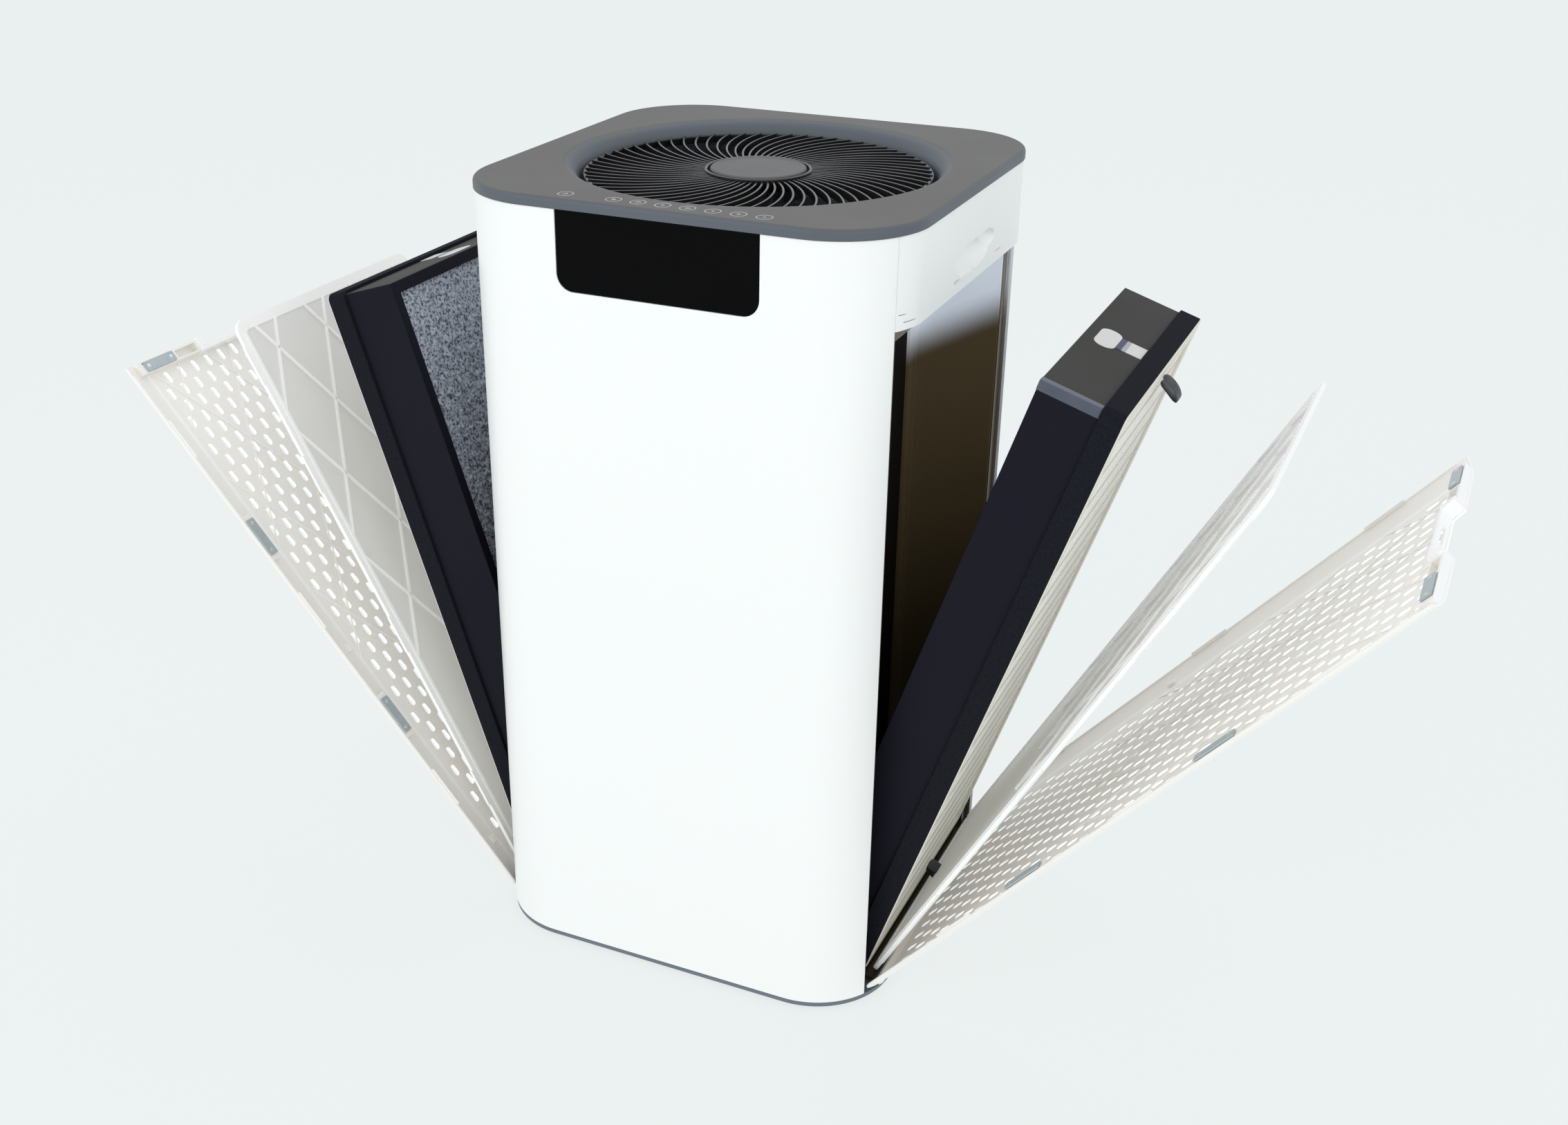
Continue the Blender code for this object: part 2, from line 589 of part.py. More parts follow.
def guard_holes():
    """Rows of box-shaped holes that leave thin bars across the air window."""
    rows, columns, bar = 12, 4, 0.003
    pitch_y, pitch_z = 2 * WINDOW_HALF / columns, (WINDOW_TOP - WINDOW_BOTTOM) / rows
    holes = []
    for row in range(rows):
        for column in range(columns):
            low_y = -WINDOW_HALF + column * pitch_y + bar / 2
            low_z = WINDOW_BOTTOM + row * pitch_z + bar / 2
            holes.append(box_mesh("guard_hole", (0.085, low_y, low_z),
                                  (0.10, low_y + pitch_y - bar, low_z + pitch_z - bar)))
    return holes


def join_meshes(name, meshes):
    """One mesh that holds several separate solids."""
    joined = bmesh.new()
    for mesh in meshes:
        joined.from_mesh(mesh)
    result = bpy.data.meshes.new(name)
    joined.to_mesh(result)
    joined.free()
    return result


def strike_outline():
    """Steel strip up both sides and over the opening, as an upside-down U of (across, up) points."""
    outer, inner, bottom = 0.1420, 0.1325, 0.0600
    bar_bottom, bar_top = OPENING_TOP + 0.0003, LINER_TOP - 0.0010
    return [(-outer, bottom), (-inner, bottom), (-inner, bar_bottom), (inner, bar_bottom),
            (inner, bottom), (outer, bottom), (outer, bar_top), (-outer, bar_top)]


def local(point, pivot):
    """A point of the closed stack, measured from its pivot."""
    return Vector(point) - pivot


def local_box(name, low, high, pivot):
    return box_mesh(name, local(low, pivot), local(high, pivot))


def build_cover(side, place):
    """Perforated outer cover: a wall with thick long edges, end rails, and a finger notch at the top."""
    pivot = add_pivot(f"{side}_cover_pivot", COVER_PIVOT, COVER_ANGLE, place)
    bottom = COVER_PIVOT.z
    top = bottom + COVER_LENGTH
    outer = side_wall(0.0, 90.0 - SEAM_ANGLE - SEAM_GAP_ANGLE - 0.1)
    pad_reach = math.degrees(math.asin((COVER_PAD_HALF - CORNER_CENTRE) / (CORNER_RADIUS - WALL)))
    inner = side_wall(WALL, pad_reach)[::-1]
    rear_pad = [(COVER_PAD_X, COVER_PAD_END), (COVER_PAD_X, COVER_PAD_HALF)]
    front_pad = [(COVER_PAD_X, -COVER_PAD_HALF), (COVER_PAD_X, -COVER_PAD_END)]
    shell = outline_mesh("cover", [outer + rear_pad + inner + front_pad], bottom, top)
    shell.transform(Matrix.Translation(-COVER_PIVOT))
    cover = add_part(f"{side}_cover", shell, "cream_plastic", pivot)
    rail_half = COVER_PAD_HALF + 0.0005
    top_rail = local_box("cover_top_rail", (COVER_RAIL_X, -rail_half, top - 0.0120),
                         (0.1780, rail_half, top - 0.0003), COVER_PIVOT)
    combine(cover, tool_from_mesh(f"{side}_cover_top_rail", top_rail, pivot), "UNION")
    low_rail = local_box("cover_low_rail", (0.1727, -rail_half, bottom + 0.0003),
                         (0.1780, rail_half, bottom + 0.0060), COVER_PIVOT)
    combine(cover, tool_from_mesh(f"{side}_cover_low_rail", low_rail, pivot), "UNION")
    notch = upright(outline_mesh("cover_notch", [[(-0.0500, top + 0.01), (-0.0420, top - 0.0105),
                                                  (0.0420, top - 0.0105), (0.0500, top + 0.01)]], 0.16, 0.19))
    notch.transform(Matrix.Translation(-COVER_PIVOT))
    combine(cover, tool_from_mesh(f"{side}_cover_notch", notch, pivot), "DIFFERENCE")

    face = COVER_PAD_X - 0.0003
    front = -1 if side == "right" else 1
    for row, height in enumerate(SIDE_MAGNET_HEIGHTS, start=1):
        middle = front * 0.1372
        low_end = bottom + height - MAGNET_LENGTH / 2
        magnet = local_box("magnet", (face - MAGNET_THICKNESS, middle - MAGNET_WIDTH / 2, low_end),
                           (face, middle + MAGNET_WIDTH / 2, low_end + MAGNET_LENGTH), COVER_PIVOT)
        add_part(f"{side}_cover_magnet_front_{row}", magnet, "steel", pivot)
    for end, side_y in (("front", front), ("rear", -front)):
        middle = side_y * TOP_MAGNET_Y
        rail_face = COVER_RAIL_X - 0.0003
        magnet = local_box("magnet", (rail_face - MAGNET_THICKNESS, middle - MAGNET_LENGTH / 2, top - 0.0112),
                           (rail_face, middle + MAGNET_LENGTH / 2, top - 0.0112 + MAGNET_WIDTH), COVER_PIVOT)
        add_part(f"{side}_cover_magnet_{end}_top", magnet, "steel", pivot)


def build_prefilter(side, place):
    """Frame with a diamond lattice, and the fine mesh that it carries on its inner face."""
    pivot = add_pivot(f"{side}_prefilter_pivot", PREFILTER_PIVOT, PREFILTER_ANGLE, place)
    outline = rounded_rectangle(PREFILTER_HALF, PREFILTER_LENGTH / 2, 0.006, (0.0, PREFILTER_LENGTH / 2), 3)
    frame_mesh = upright(outline_mesh("prefilter_frame", [outline], -PREFILTER_DEPTH, 0.0))
    frame = add_part(f"{side}_prefilter_frame", frame_mesh, "cream_plastic", pivot)
    lattice = upright(join_meshes("lattice_holes", lattice_holes()))
    combine(frame, tool_from_mesh(f"{side}_lattice_holes", lattice, pivot), "DIFFERENCE")
    sheet = rounded_rectangle(PREFILTER_HALF - 0.003, PREFILTER_LENGTH / 2 - 0.003, 0.006,
                              (0.0, PREFILTER_LENGTH / 2), 3)
    sheet_mesh = upright(outline_mesh("prefilter_mesh", [sheet], -PREFILTER_DEPTH - 0.0009,
                                      -PREFILTER_DEPTH - 0.0003))
    add_part(f"{side}_prefilter_mesh", sheet_mesh, "cream_plastic", pivot)


def lattice_holes():
    """Diamonds between crossing diagonal ribs, in whole and half steps up to the frame's border."""
    border, rib, columns, rows = 0.0100, 0.0022, 3.5, 4.5
    width = (2 * (PREFILTER_HALF - border)) / columns
    height = (PREFILTER_LENGTH - 2 * border) / rows
    left, low = -PREFILTER_HALF + border, border
    right, high = -left, PREFILTER_LENGTH - border
    shrink = 1.0 - rib * math.hypot(width, height) / (width * height)
    holes = []
    for column in range(round(2 * columns) + 1):
        for row in range(round(2 * rows) + 1):
            if (column + row) % 2 == 0:
                continue
            centre = (left + column * width / 2, low + row * height / 2)
            corners = [(width / 2, 0), (0, height / 2), (-width / 2, 0), (0, -height / 2)]
            points = []
            for across, up in corners:
                x = min(max(centre[0] + across * shrink, left), right)
                y = min(max(centre[1] + up * shrink, low), high)
                points.append((x, y))
            distinct = [point for index, point in enumerate(points) if point != points[index - 1]]
            holes.append(outline_mesh("lattice_hole", [distinct], -0.02, 0.02))
    return holes


def build_filter(side, place):
    """Composite filter: a flanged frame round a pleated pack and a granule panel, with two pull tabs."""
    pivot = add_pivot(f"{side}_filter_pivot", FILTER_PIVOT, FILTER_ANGLE, place)
    body = box_mesh("filter_frame", (-FILTER_DEPTH, -FILTER_HALF + FLANGE_LIP, FLANGE_LIP),
                    (-0.0006, FILTER_HALF - FLANGE_LIP, FILTER_LENGTH - FLANGE_LIP))
    frame = add_part(f"{side}_filter_frame", body, "black_board", pivot)
    flange = box_mesh("filter_flange", (-FLANGE_DEPTH, -FILTER_HALF, 0.0), (0.0, FILTER_HALF, FILTER_LENGTH))
    combine(frame, tool_from_mesh(f"{side}_filter_flange", flange, pivot), "UNION")
    inner_half = FILTER_HALF - FRAME_WALL
    opening = box_mesh("filter_opening", (-0.1, -inner_half, FRAME_WALL),
                       (0.1, inner_half, FILTER_LENGTH - FRAME_WALL))
    combine(frame, tool_from_mesh(f"{side}_filter_opening", opening, pivot), "DIFFERENCE")

    edge = inner_half - 0.0004
    low, high = FRAME_WALL + 0.0004, FILTER_LENGTH - FRAME_WALL - 0.0004
    pleats = box_mesh("pleated_media", (-0.0420, -edge, low), (-0.0020, edge, high))
    add_part(f"{side}_pleated_media", pleats, "white_media", pivot)
    granules = box_mesh("carbon_panel", (-0.0620, -edge, low), (-0.0424, edge, high))
    add_part(f"{side}_carbon_panel", granules, "carbon", pivot)
    for end, start in (("top", FILTER_LENGTH - TAB_INSET - TAB_LENGTH), ("bottom", TAB_INSET)):
        tab = box_mesh("pull_tab", (0.0003, -TAB_WIDTH / 2, start),
                       (0.0015, TAB_WIDTH / 2, start + TAB_LENGTH))
        add_part(f"{side}_pull_tab_{end}", tab, "black_fabric", pivot)


def build_side(side, turn):
    """One side of the tower, modelled on the right and turned into place."""
    place = bpy.data.objects.new(f"{side}_side", None)
    parts.objects.link(place)
    place.rotation_euler = (0.0, 0.0, turn)
    build_deck(side, place)
    build_liner(side, place)
    build_cover(side, place)
    build_prefilter(side, place)
    build_filter(side, place)


clear_scene()
parts = new_collection("air_purifier")
cutters = new_collection("cutters")
build_base()
build_shells()
build_display()
build_top_plate()
build_outlet()
build_fan()
build_rear_fittings()
build_side("right", 0.0)
build_side("left", math.pi)
bpy.context.view_layer.update()
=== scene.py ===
"""Tower air purifier, opened on both sides, with its covers, pre-filters and filters leaning out.

Lengths are in metres. The tower stands on the floor at the origin with its front to -Y.
"""

import json
import math

import bmesh
import bpy
from mathutils import Matrix, Quaternion, Vector


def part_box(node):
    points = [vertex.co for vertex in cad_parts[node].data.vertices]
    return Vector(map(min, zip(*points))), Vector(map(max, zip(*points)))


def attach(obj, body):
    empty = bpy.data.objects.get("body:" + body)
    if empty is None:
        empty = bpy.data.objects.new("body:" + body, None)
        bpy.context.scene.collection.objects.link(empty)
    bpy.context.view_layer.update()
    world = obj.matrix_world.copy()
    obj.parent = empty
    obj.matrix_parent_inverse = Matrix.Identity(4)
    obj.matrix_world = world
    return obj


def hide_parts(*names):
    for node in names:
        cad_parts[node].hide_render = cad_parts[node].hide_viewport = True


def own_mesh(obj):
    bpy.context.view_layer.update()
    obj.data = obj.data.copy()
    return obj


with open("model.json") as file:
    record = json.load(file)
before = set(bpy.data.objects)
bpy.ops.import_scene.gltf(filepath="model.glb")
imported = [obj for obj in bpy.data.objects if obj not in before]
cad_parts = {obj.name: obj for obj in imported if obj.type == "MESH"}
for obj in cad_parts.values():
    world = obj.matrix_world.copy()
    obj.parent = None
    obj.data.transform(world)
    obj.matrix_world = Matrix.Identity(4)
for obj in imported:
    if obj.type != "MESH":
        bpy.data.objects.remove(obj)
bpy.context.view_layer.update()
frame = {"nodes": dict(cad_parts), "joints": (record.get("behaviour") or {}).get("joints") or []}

# ------------------------------------------------------------------ camera, floor and light
# A product table under broad soft light, brightest from the front left, with a pale floor that
# runs into a surround of the same shade.
scene = bpy.context.scene
scene.view_settings.view_transform = "Standard"

LOOK_AT = Vector((-0.0285, 0.0, 0.281))
CAMERA_DISTANCE = 1.5687
azimuth, elevation, roll = math.radians(24.97), math.radians(26.16), math.radians(0.15)
toward_camera = Vector((math.sin(azimuth) * math.cos(elevation),
                        -math.cos(azimuth) * math.cos(elevation), math.sin(elevation)))
camera_data = bpy.data.cameras.new("camera")
camera_data.sensor_width = 36.0
camera_data.lens = 40.66
camera_data.shift_x = 0.0380
camera_data.shift_y = 0.0173
camera = bpy.data.objects.new("camera", camera_data)
scene.collection.objects.link(camera)
camera.location = LOOK_AT + toward_camera * CAMERA_DISTANCE
facing = toward_camera.to_track_quat("Z", "Y") @ Quaternion((0.0, 0.0, 1.0), roll)
camera.rotation_euler = facing.to_euler()
scene.camera = camera

PALE = (0.847, 0.888, 0.880)


def soft_light(name, location, size, power):
    """A square soft box aimed at the middle of the tower."""
    data = bpy.data.lights.new(name, "AREA")
    data.size = size
    data.energy = power
    light = bpy.data.objects.new(name, data)
    scene.collection.objects.link(light)
    light.location = location
    light.rotation_euler = (Vector(location) - Vector((0.0, 0.0, 0.3))).to_track_quat("Z", "Y").to_euler()


soft_light("front_box", (-1.3, -2.4, 1.5), 1.8, 15.0)
soft_light("right_box", (2.1, -1.9, 1.3), 1.5, 11.0)
soft_light("top_box", (-0.2, 0.9, 2.3), 1.6, 5.0)

world = bpy.data.worlds.new("surround")
scene.world = world
world.use_nodes = True
nodes, links = world.node_tree.nodes, world.node_tree.links
nodes.clear()
seen, lighting = nodes.new("ShaderNodeBackground"), nodes.new("ShaderNodeBackground")
seen.inputs["Color"].default_value = (*PALE, 1.0)
lighting.inputs["Color"].default_value = (0.93, 0.96, 1.0, 1.0)
lighting.inputs["Strength"].default_value = 0.88
path, pick_one = nodes.new("ShaderNodeLightPath"), nodes.new("ShaderNodeMixShader")
links.new(path.outputs["Is Camera Ray"], pick_one.inputs["Fac"])
links.new(lighting.outputs["Background"], pick_one.inputs[1])
links.new(seen.outputs["Background"], pick_one.inputs[2])
links.new(pick_one.outputs["Shader"], nodes.new("ShaderNodeOutputWorld").inputs["Surface"])

bpy.ops.object.select_all(action="DESELECT")
bpy.ops.mesh.primitive_circle_add(vertices=96, radius=7.0, fill_type="NGON", location=(0.0, 0.0, -0.0002))
floor = bpy.context.active_object
floor.name = "floor"
floor_finish = bpy.data.materials.new("pale_floor")
floor_finish.use_nodes = True
nodes, links = floor_finish.node_tree.nodes, floor_finish.node_tree.links
nodes.clear()
glow, matt, blend = (nodes.new(f"ShaderNode{kind}") for kind in ("Emission", "BsdfDiffuse", "MixShader"))
glow.inputs["Color"].default_value = (*PALE, 1.0)
matt.inputs["Color"].default_value = (*PALE, 1.0)
blend.inputs["Fac"].default_value = 0.14
links.new(glow.outputs["Emission"], blend.inputs[1])
links.new(matt.outputs["BSDF"], blend.inputs[2])
links.new(blend.outputs["Shader"], nodes.new("ShaderNodeOutputMaterial").inputs["Surface"])
floor.data.materials.append(floor_finish)


# ------------------------------------------------------------------ base
# A thin dark grey moulded plate with a smaller step that carries the shells, on four rubber feet.
def take_up(piece):
    """Makes the piece the only one picked and the one that is worked on."""
    bpy.ops.object.select_all(action="DESELECT")
    piece.select_set(True)
    bpy.context.view_layer.objects.active = piece


def settle():
    """Puts the picked pieces' place, turn and scale into their meshes."""
    bpy.ops.object.transform_apply(location=True, rotation=True, scale=True)


def block(name, low, high):
    """A box between two corners, with its place in its mesh."""
    bpy.ops.object.select_all(action="DESELECT")
    low, high = Vector(low), Vector(high)
    bpy.ops.mesh.primitive_cube_add(size=1.0, location=(low + high) / 2)
    piece = bpy.context.active_object
    piece.name = name
    piece.scale = high - low
    settle()
    return piece


def pick(piece, kind, wanted):
    """Opens the piece for editing with only the faces, edges or points that pass the test picked."""
    take_up(piece)
    bpy.ops.object.mode_set(mode="EDIT")
    bpy.ops.mesh.select_mode(type=kind)
    bpy.ops.mesh.select_all(action="DESELECT")
    shape = bmesh.from_edit_mesh(piece.data)
    for element in {"FACE": shape.faces, "EDGE": shape.edges, "VERT": shape.verts}[kind]:
        if wanted(element):
            element.select_set(True)
    shape.select_flush_mode()
    bmesh.update_edit_mesh(piece.data)


def put_down():
    bpy.ops.object.mode_set(mode="OBJECT")


def runs_along(edge, axis):
    """True for an edge parallel to one axis, which 0, 1 and 2 name."""
    direction = edge.verts[1].co - edge.verts[0].co
    return abs(direction[axis]) > 0.999 * direction.length


def rounded_block(name, low, high, radius, steps, axis=2):
    """A box with the four edges along one axis rounded."""
    piece = block(name, low, high)
    pick(piece, "EDGE", lambda edge: runs_along(edge, axis))
    bpy.ops.mesh.bevel(offset=radius, segments=steps, affect="EDGES", clamp_overlap=False)
    put_down()
    return piece


def work(piece, kind, **settings):
    """Adds a modifier to the piece and applies it."""
    modifier = piece.modifiers.new(kind.lower(), kind)
    for setting, value in settings.items():
        setattr(modifier, setting, value)
    take_up(piece)
    bpy.ops.object.modifier_apply(modifier=modifier.name)


def soften(piece, width, steps=2):
    """Rounds the sharp edges a little, and shades the rest smooth."""
    if width:
        work(piece, "BEVEL", width=width, segments=steps, limit_method="ANGLE",
             angle_limit=math.radians(35))
    take_up(piece)
    bpy.ops.object.shade_smooth_by_angle(angle=math.radians(35))
    work(piece, "WEIGHTED_NORMAL", keep_sharp=True)


def moulded_surface():
    """Shader group: an even finish broken up by slow drift of shade, fine grain and uneven gloss."""
    group = bpy.data.node_groups.new("moulded_surface", "ShaderNodeTree")
    inputs = (("Colour", "Color"), ("Second Colour", "Color"), ("Drift Scale", "Float"),
              ("Grain Scale", "Float"), ("Least Roughness", "Float"), ("Most Roughness", "Float"))
    for label, kind in inputs:
        group.interface.new_socket(label, in_out="INPUT", socket_type=f"NodeSocket{kind}")
    for label, kind in (("Colour", "Color"), ("Roughness", "Float"), ("Height", "Float")):
        group.interface.new_socket(label, in_out="OUTPUT", socket_type=f"NodeSocket{kind}")
    make, join = group.nodes.new, group.links.new
    given, result = make("NodeGroupInput"), make("NodeGroupOutput")
    place = make("ShaderNodeTexCoord")
    drift, grain, shade, gloss = (make(f"ShaderNode{kind}")
                                  for kind in ("TexNoise", "TexNoise", "Mix", "MapRange"))
    drift.inputs["Detail"].default_value = 3.0
    grain.inputs["Detail"].default_value = 2.0
    shade.data_type = "RGBA"
    for noise, scale in ((drift, "Drift Scale"), (grain, "Grain Scale")):
        join(place.outputs["Object"], noise.inputs["Vector"])
        join(given.outputs[scale], noise.inputs["Scale"])
    join(drift.outputs["Fac"], shade.inputs["Factor"])
    join(given.outputs["Colour"], shade.inputs["A"])
    join(given.outputs["Second Colour"], shade.inputs["B"])
    join(drift.outputs["Fac"], gloss.inputs["Value"])
    gloss.inputs["From Min"].default_value = 0.3
    gloss.inputs["From Max"].default_value = 0.7
    join(given.outputs["Least Roughness"], gloss.inputs["To Min"])
    join(given.outputs["Most Roughness"], gloss.inputs["To Max"])
    join(shade.outputs["Result"], result.inputs["Colour"])
    join(gloss.outputs["Result"], result.inputs["Roughness"])
    join(grain.outputs["Fac"], result.inputs["Height"])
    return group


MOULDED = moulded_surface()


def finish(name, colour, second, roughness, drift=9.0, grain=1100.0, bump=0.06, specular=0.5,
           metallic=0.0, glow=0.0):
    """A material on the moulded surface group: two shades, gloss, grain, and a painted glow for light let
    through.
    """
    material = bpy.data.materials.new(name)
    material.use_nodes = True
    make, join = material.node_tree.nodes.new, material.node_tree.links.new
    shader = material.node_tree.nodes["Principled BSDF"]
    surface, relief = make("ShaderNodeGroup"), make("ShaderNodeBump")
    surface.node_tree = MOULDED
    surface.name = "surface"
    relief.name = "relief"
    given = surface.inputs
    given["Colour"].default_value = (*colour, 1.0)
    given["Second Colour"].default_value = (*second, 1.0)
    given["Drift Scale"].default_value = drift
    given["Grain Scale"].default_value = grain
    given["Least Roughness"].default_value, given["Most Roughness"].default_value = roughness
    relief.inputs["Strength"].default_value = bump
    relief.inputs["Distance"].default_value = 0.0005
    join(surface.outputs["Colour"], shader.inputs["Base Color"])
    join(surface.outputs["Roughness"], shader.inputs["Roughness"])
    join(surface.outputs["Height"], relief.inputs["Height"])
    join(relief.outputs["Normal"], shader.inputs["Normal"])
    shader.inputs["Metallic"].default_value = metallic
    shader.inputs["Specular IOR Level"].default_value = specular
    # Glow is painted light: the surface's own colour gives off light, standing in for light let through.
    shader.inputs["Emission Strength"].default_value = glow
    if glow:
        join(surface.outputs["Colour"], shader.inputs["Emission Color"])
    return material


def fit(piece, name, body, finishes, nodes=()):
    """Names the piece, gives it its finishes, and sets it on a body in place of CAD nodes."""
    piece.name = name
    if len(piece.data.materials) == 0:
        for material in finishes:
            piece.data.materials.append(material)
    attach(piece, body)
    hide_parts(*nodes)


def carry(node, material):
    """Gives a CAD node that stays in view its finish."""
    slots = frame["nodes"][node].data.materials
    slots.clear()
    slots.append(material)


rim_grey = finish("rim_grey", (0.150, 0.172, 0.205), (0.128, 0.148, 0.178), (0.42, 0.52))
foot_rubber = finish("foot_rubber", (0.020, 0.020, 0.021), (0.030, 0.030, 0.030), (0.75, 0.9), grain=600.0,
                     bump=0.2)

HALF = 0.180
CORNER = 0.070
BASE_HIGH = 0.0070
base = rounded_block("base", (-0.1796, -0.1796, 0.0030), (0.1796, 0.1796, BASE_HIGH), CORNER - 0.0004, 24)
pick(base, "FACE", lambda face: face.normal.z > 0.9)
bpy.ops.mesh.inset(thickness=0.0155, depth=0.0)
bpy.ops.mesh.extrude_region_move(TRANSFORM_OT_translate={"value": (0.0, 0.0, 0.0030)})
put_down()
soften(base, 0.0005)
fit(base, "base_rim", "tower", [rim_grey], ["base_plate"])
for corner in ("front_left", "front_right", "rear_left", "rear_right"):
    carry(f"foot_{corner}", foot_rubber)

# ------------------------------------------------------------------ front and rear shells
# Two white injection-moulded walls, satin outside, that wrap the rounded corners and meet the
# sides at a fine seam. The front one is cut out for the display, the rear one for two fittings.
shell_white = finish("shell_white", (0.900, 0.915, 0.900), (0.920, 0.925, 0.905), (0.30, 0.40), drift=4.0)

SHELL_LOW, SHELL_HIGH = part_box("front_shell")[0].z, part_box("front_shell")[1].z
SEAM_Y = 0.1454
WALL = 0.0025


def bisect(piece, point, normal, fill=False):
    """Cuts the piece on a plane and drops what lies on the side that the normal points to."""
    pick(piece, "FACE", lambda face: True)
    bpy.ops.mesh.bisect(plane_co=point, plane_no=normal, clear_outer=True, use_fill=fill)
    put_down()


def take_away(piece, *tools):
    """Cuts the tools' shapes out of the piece."""
    for tool in tools:
        work(piece, "BOOLEAN", object=tool, operation="DIFFERENCE", solver="EXACT")
        bpy.data.objects.remove(tool)


def add_on(piece, *tools):
    """Fuses the tools' shapes to the piece."""
    for tool in tools:
        work(piece, "BOOLEAN", object=tool, operation="UNION", solver="EXACT")
        bpy.data.objects.remove(tool)


def gather(piece, *others):
    """Joins separate solids into one piece."""
    bpy.ops.object.select_all(action="DESELECT")
    for other in (piece, *others):
        other.select_set(True)
    bpy.context.view_layer.objects.active = piece
    bpy.ops.object.join()


def open_wall(name, low, high):
    """The tower's rounded square as a wall with no top or bottom, before it is cut into its parts."""
    wall = rounded_block(name, (-HALF, -HALF, low), (HALF, HALF, high), CORNER, 24)
    pick(wall, "FACE", lambda face: abs(face.normal.z) > 0.9)
    bpy.ops.mesh.delete(type="FACE")
    put_down()
    return wall


def end_shell(name):
    shell = open_wall(name, SHELL_LOW, SHELL_HIGH)
    bisect(shell, (0.0, -SEAM_Y, 0.0), (0.0, 1.0, 0.0))
    work(shell, "SOLIDIFY", thickness=WALL, offset=-1.0, use_even_offset=True)
    return shell


def turn_half_round(piece):
    """Turns the piece to the opposite side of the tower."""
    piece.matrix_world = Matrix.Rotation(math.pi, 4, "Z")
    take_up(piece)
    settle()


DISPLAY_LOW, DISPLAY_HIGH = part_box("display_window")


def display_block(name, front, back, margin):
    """A slab with square top corners and rounded bottom ones, as the display's outline."""
    slab = block(name, (DISPLAY_LOW.x - margin, front, DISPLAY_LOW.z - margin),
                 (DISPLAY_HIGH.x + margin, back, DISPLAY_HIGH.z + margin))
    pick(slab, "EDGE", lambda edge: runs_along(edge, 1) and edge.verts[0].co.z < DISPLAY_LOW.z + 0.001)
    bpy.ops.mesh.bevel(offset=0.013 + margin, segments=12, affect="EDGES", clamp_overlap=False)
    put_down()
    return slab


front = end_shell("front")
take_away(front, display_block("display_cut", -0.20, -0.16, 0.0004))
soften(front, 0.0004)
fit(front, "front_shell_wall", "tower", [shell_white], ["front_shell"])

rear = end_shell("rear")
turn_half_round(rear)
take_away(rear, block("inlet_cut", (-0.0144, 0.17, 0.0346), (0.0144, 0.19, 0.0554)),
          block("sensor_cut", (-0.0264, 0.17, 0.4496), (0.0264, 0.19, 0.4704)))
soften(rear, 0.0004)
fit(rear, "rear_shell_wall", "tower", [shell_white], ["rear_shell"])

# ------------------------------------------------------------------ display
# A gloss black acrylic window set flush in the front, over a dark board with unlit indicators.
display_black = finish("display_black", (0.0012, 0.0012, 0.0016), (0.0022, 0.0020, 0.0024), (0.05, 0.09),
                       drift=14.0, bump=0.0, specular=0.05)
board_green = finish("board_green", (0.010, 0.085, 0.035), (0.016, 0.110, 0.045), (0.35, 0.5), drift=60.0)

window = display_block("window", DISPLAY_LOW.y, DISPLAY_HIGH.y, 0.0)
soften(window, 0.0005)
fit(window, "display_glass", "tower", [display_black], ["display_window"])
for board in ("display_board", "touch_key_board", "main_board"):
    carry(board, board_green)

# ------------------------------------------------------------------ top plate
# A matt dark grey plate over the whole top, rounded along its rim, that falls in a smooth bowl
# to the air outlet. Eight printed touch marks stand in a row at its front edge.
plate_grey = finish("plate_grey", (0.108, 0.104, 0.097), (0.122, 0.118, 0.111), (0.50, 0.60), grain=1500.0,
                    bump=0.10, specular=0.35)
# A darker, bluer grey of the same plastic for the steep faces: painted shade on the rim's sides and down the
# bowl's wall.
plate_side_painted_shade = finish("plate_side_painted_shade", (0.094, 0.108, 0.126), (0.108, 0.122, 0.140), (0.42, 0.52), grain=1500.0,
                   bump=0.10, specular=0.35)

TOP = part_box("top_plate")[1].z
PLATE_THICKNESS = 0.0080
PLATE_HALF = HALF + 0.001
GRILLE_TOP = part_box("outlet_grille")[1].z


def drawn(name, points):
    """A line of points, drawn by extruding one point along the way, and left open for editing."""
    bpy.ops.object.select_all(action="DESELECT")
    bpy.ops.mesh.primitive_plane_add(size=0.001)
    piece = bpy.context.active_object
    piece.name = name
    bpy.ops.object.mode_set(mode="EDIT")
    bpy.ops.mesh.select_mode(type="VERT")
    bpy.ops.mesh.select_all(action="SELECT")
    bpy.ops.mesh.merge(type="CENTER")
    bpy.ops.transform.translate(value=points[0])
    for here, there in zip(points, points[1:]):
        bpy.ops.mesh.extrude_vertices_move(TRANSFORM_OT_translate={"value": Vector(there) - Vector(here)})
    bpy.ops.mesh.select_all(action="SELECT")
    return piece


def turned(name, profile, steps, closed=True):
    """A profile of (radius, height) points spun round the tower's axis."""
    ring = profile + [profile[0]] if closed else profile
    piece = drawn(name, [(radius, 0.0, height) for radius, height in ring])
    bpy.ops.mesh.remove_doubles(threshold=0.00001)
    bpy.ops.mesh.select_all(action="SELECT")
    bpy.ops.mesh.spin(steps=steps, angle=2 * math.pi, center=(0.0, 0.0, 0.0), axis=(0.0, 0.0, 1.0))
    bpy.ops.mesh.select_all(action="SELECT")
    bpy.ops.mesh.remove_doubles(threshold=0.00001)
    bpy.ops.mesh.select_all(action="SELECT")
    bpy.ops.mesh.normals_make_consistent(inside=False)
    put_down()
    return piece


plate = rounded_block("plate", (-PLATE_HALF, -PLATE_HALF, TOP - PLATE_THICKNESS),
                      (PLATE_HALF, PLATE_HALF, TOP), CORNER + 0.001, 28)
pick(plate, "EDGE", lambda edge: all(vert.co.z > TOP - 0.0001 for vert in edge.verts))
bpy.ops.mesh.bevel(offset=0.0032, segments=5, affect="EDGES")
put_down()
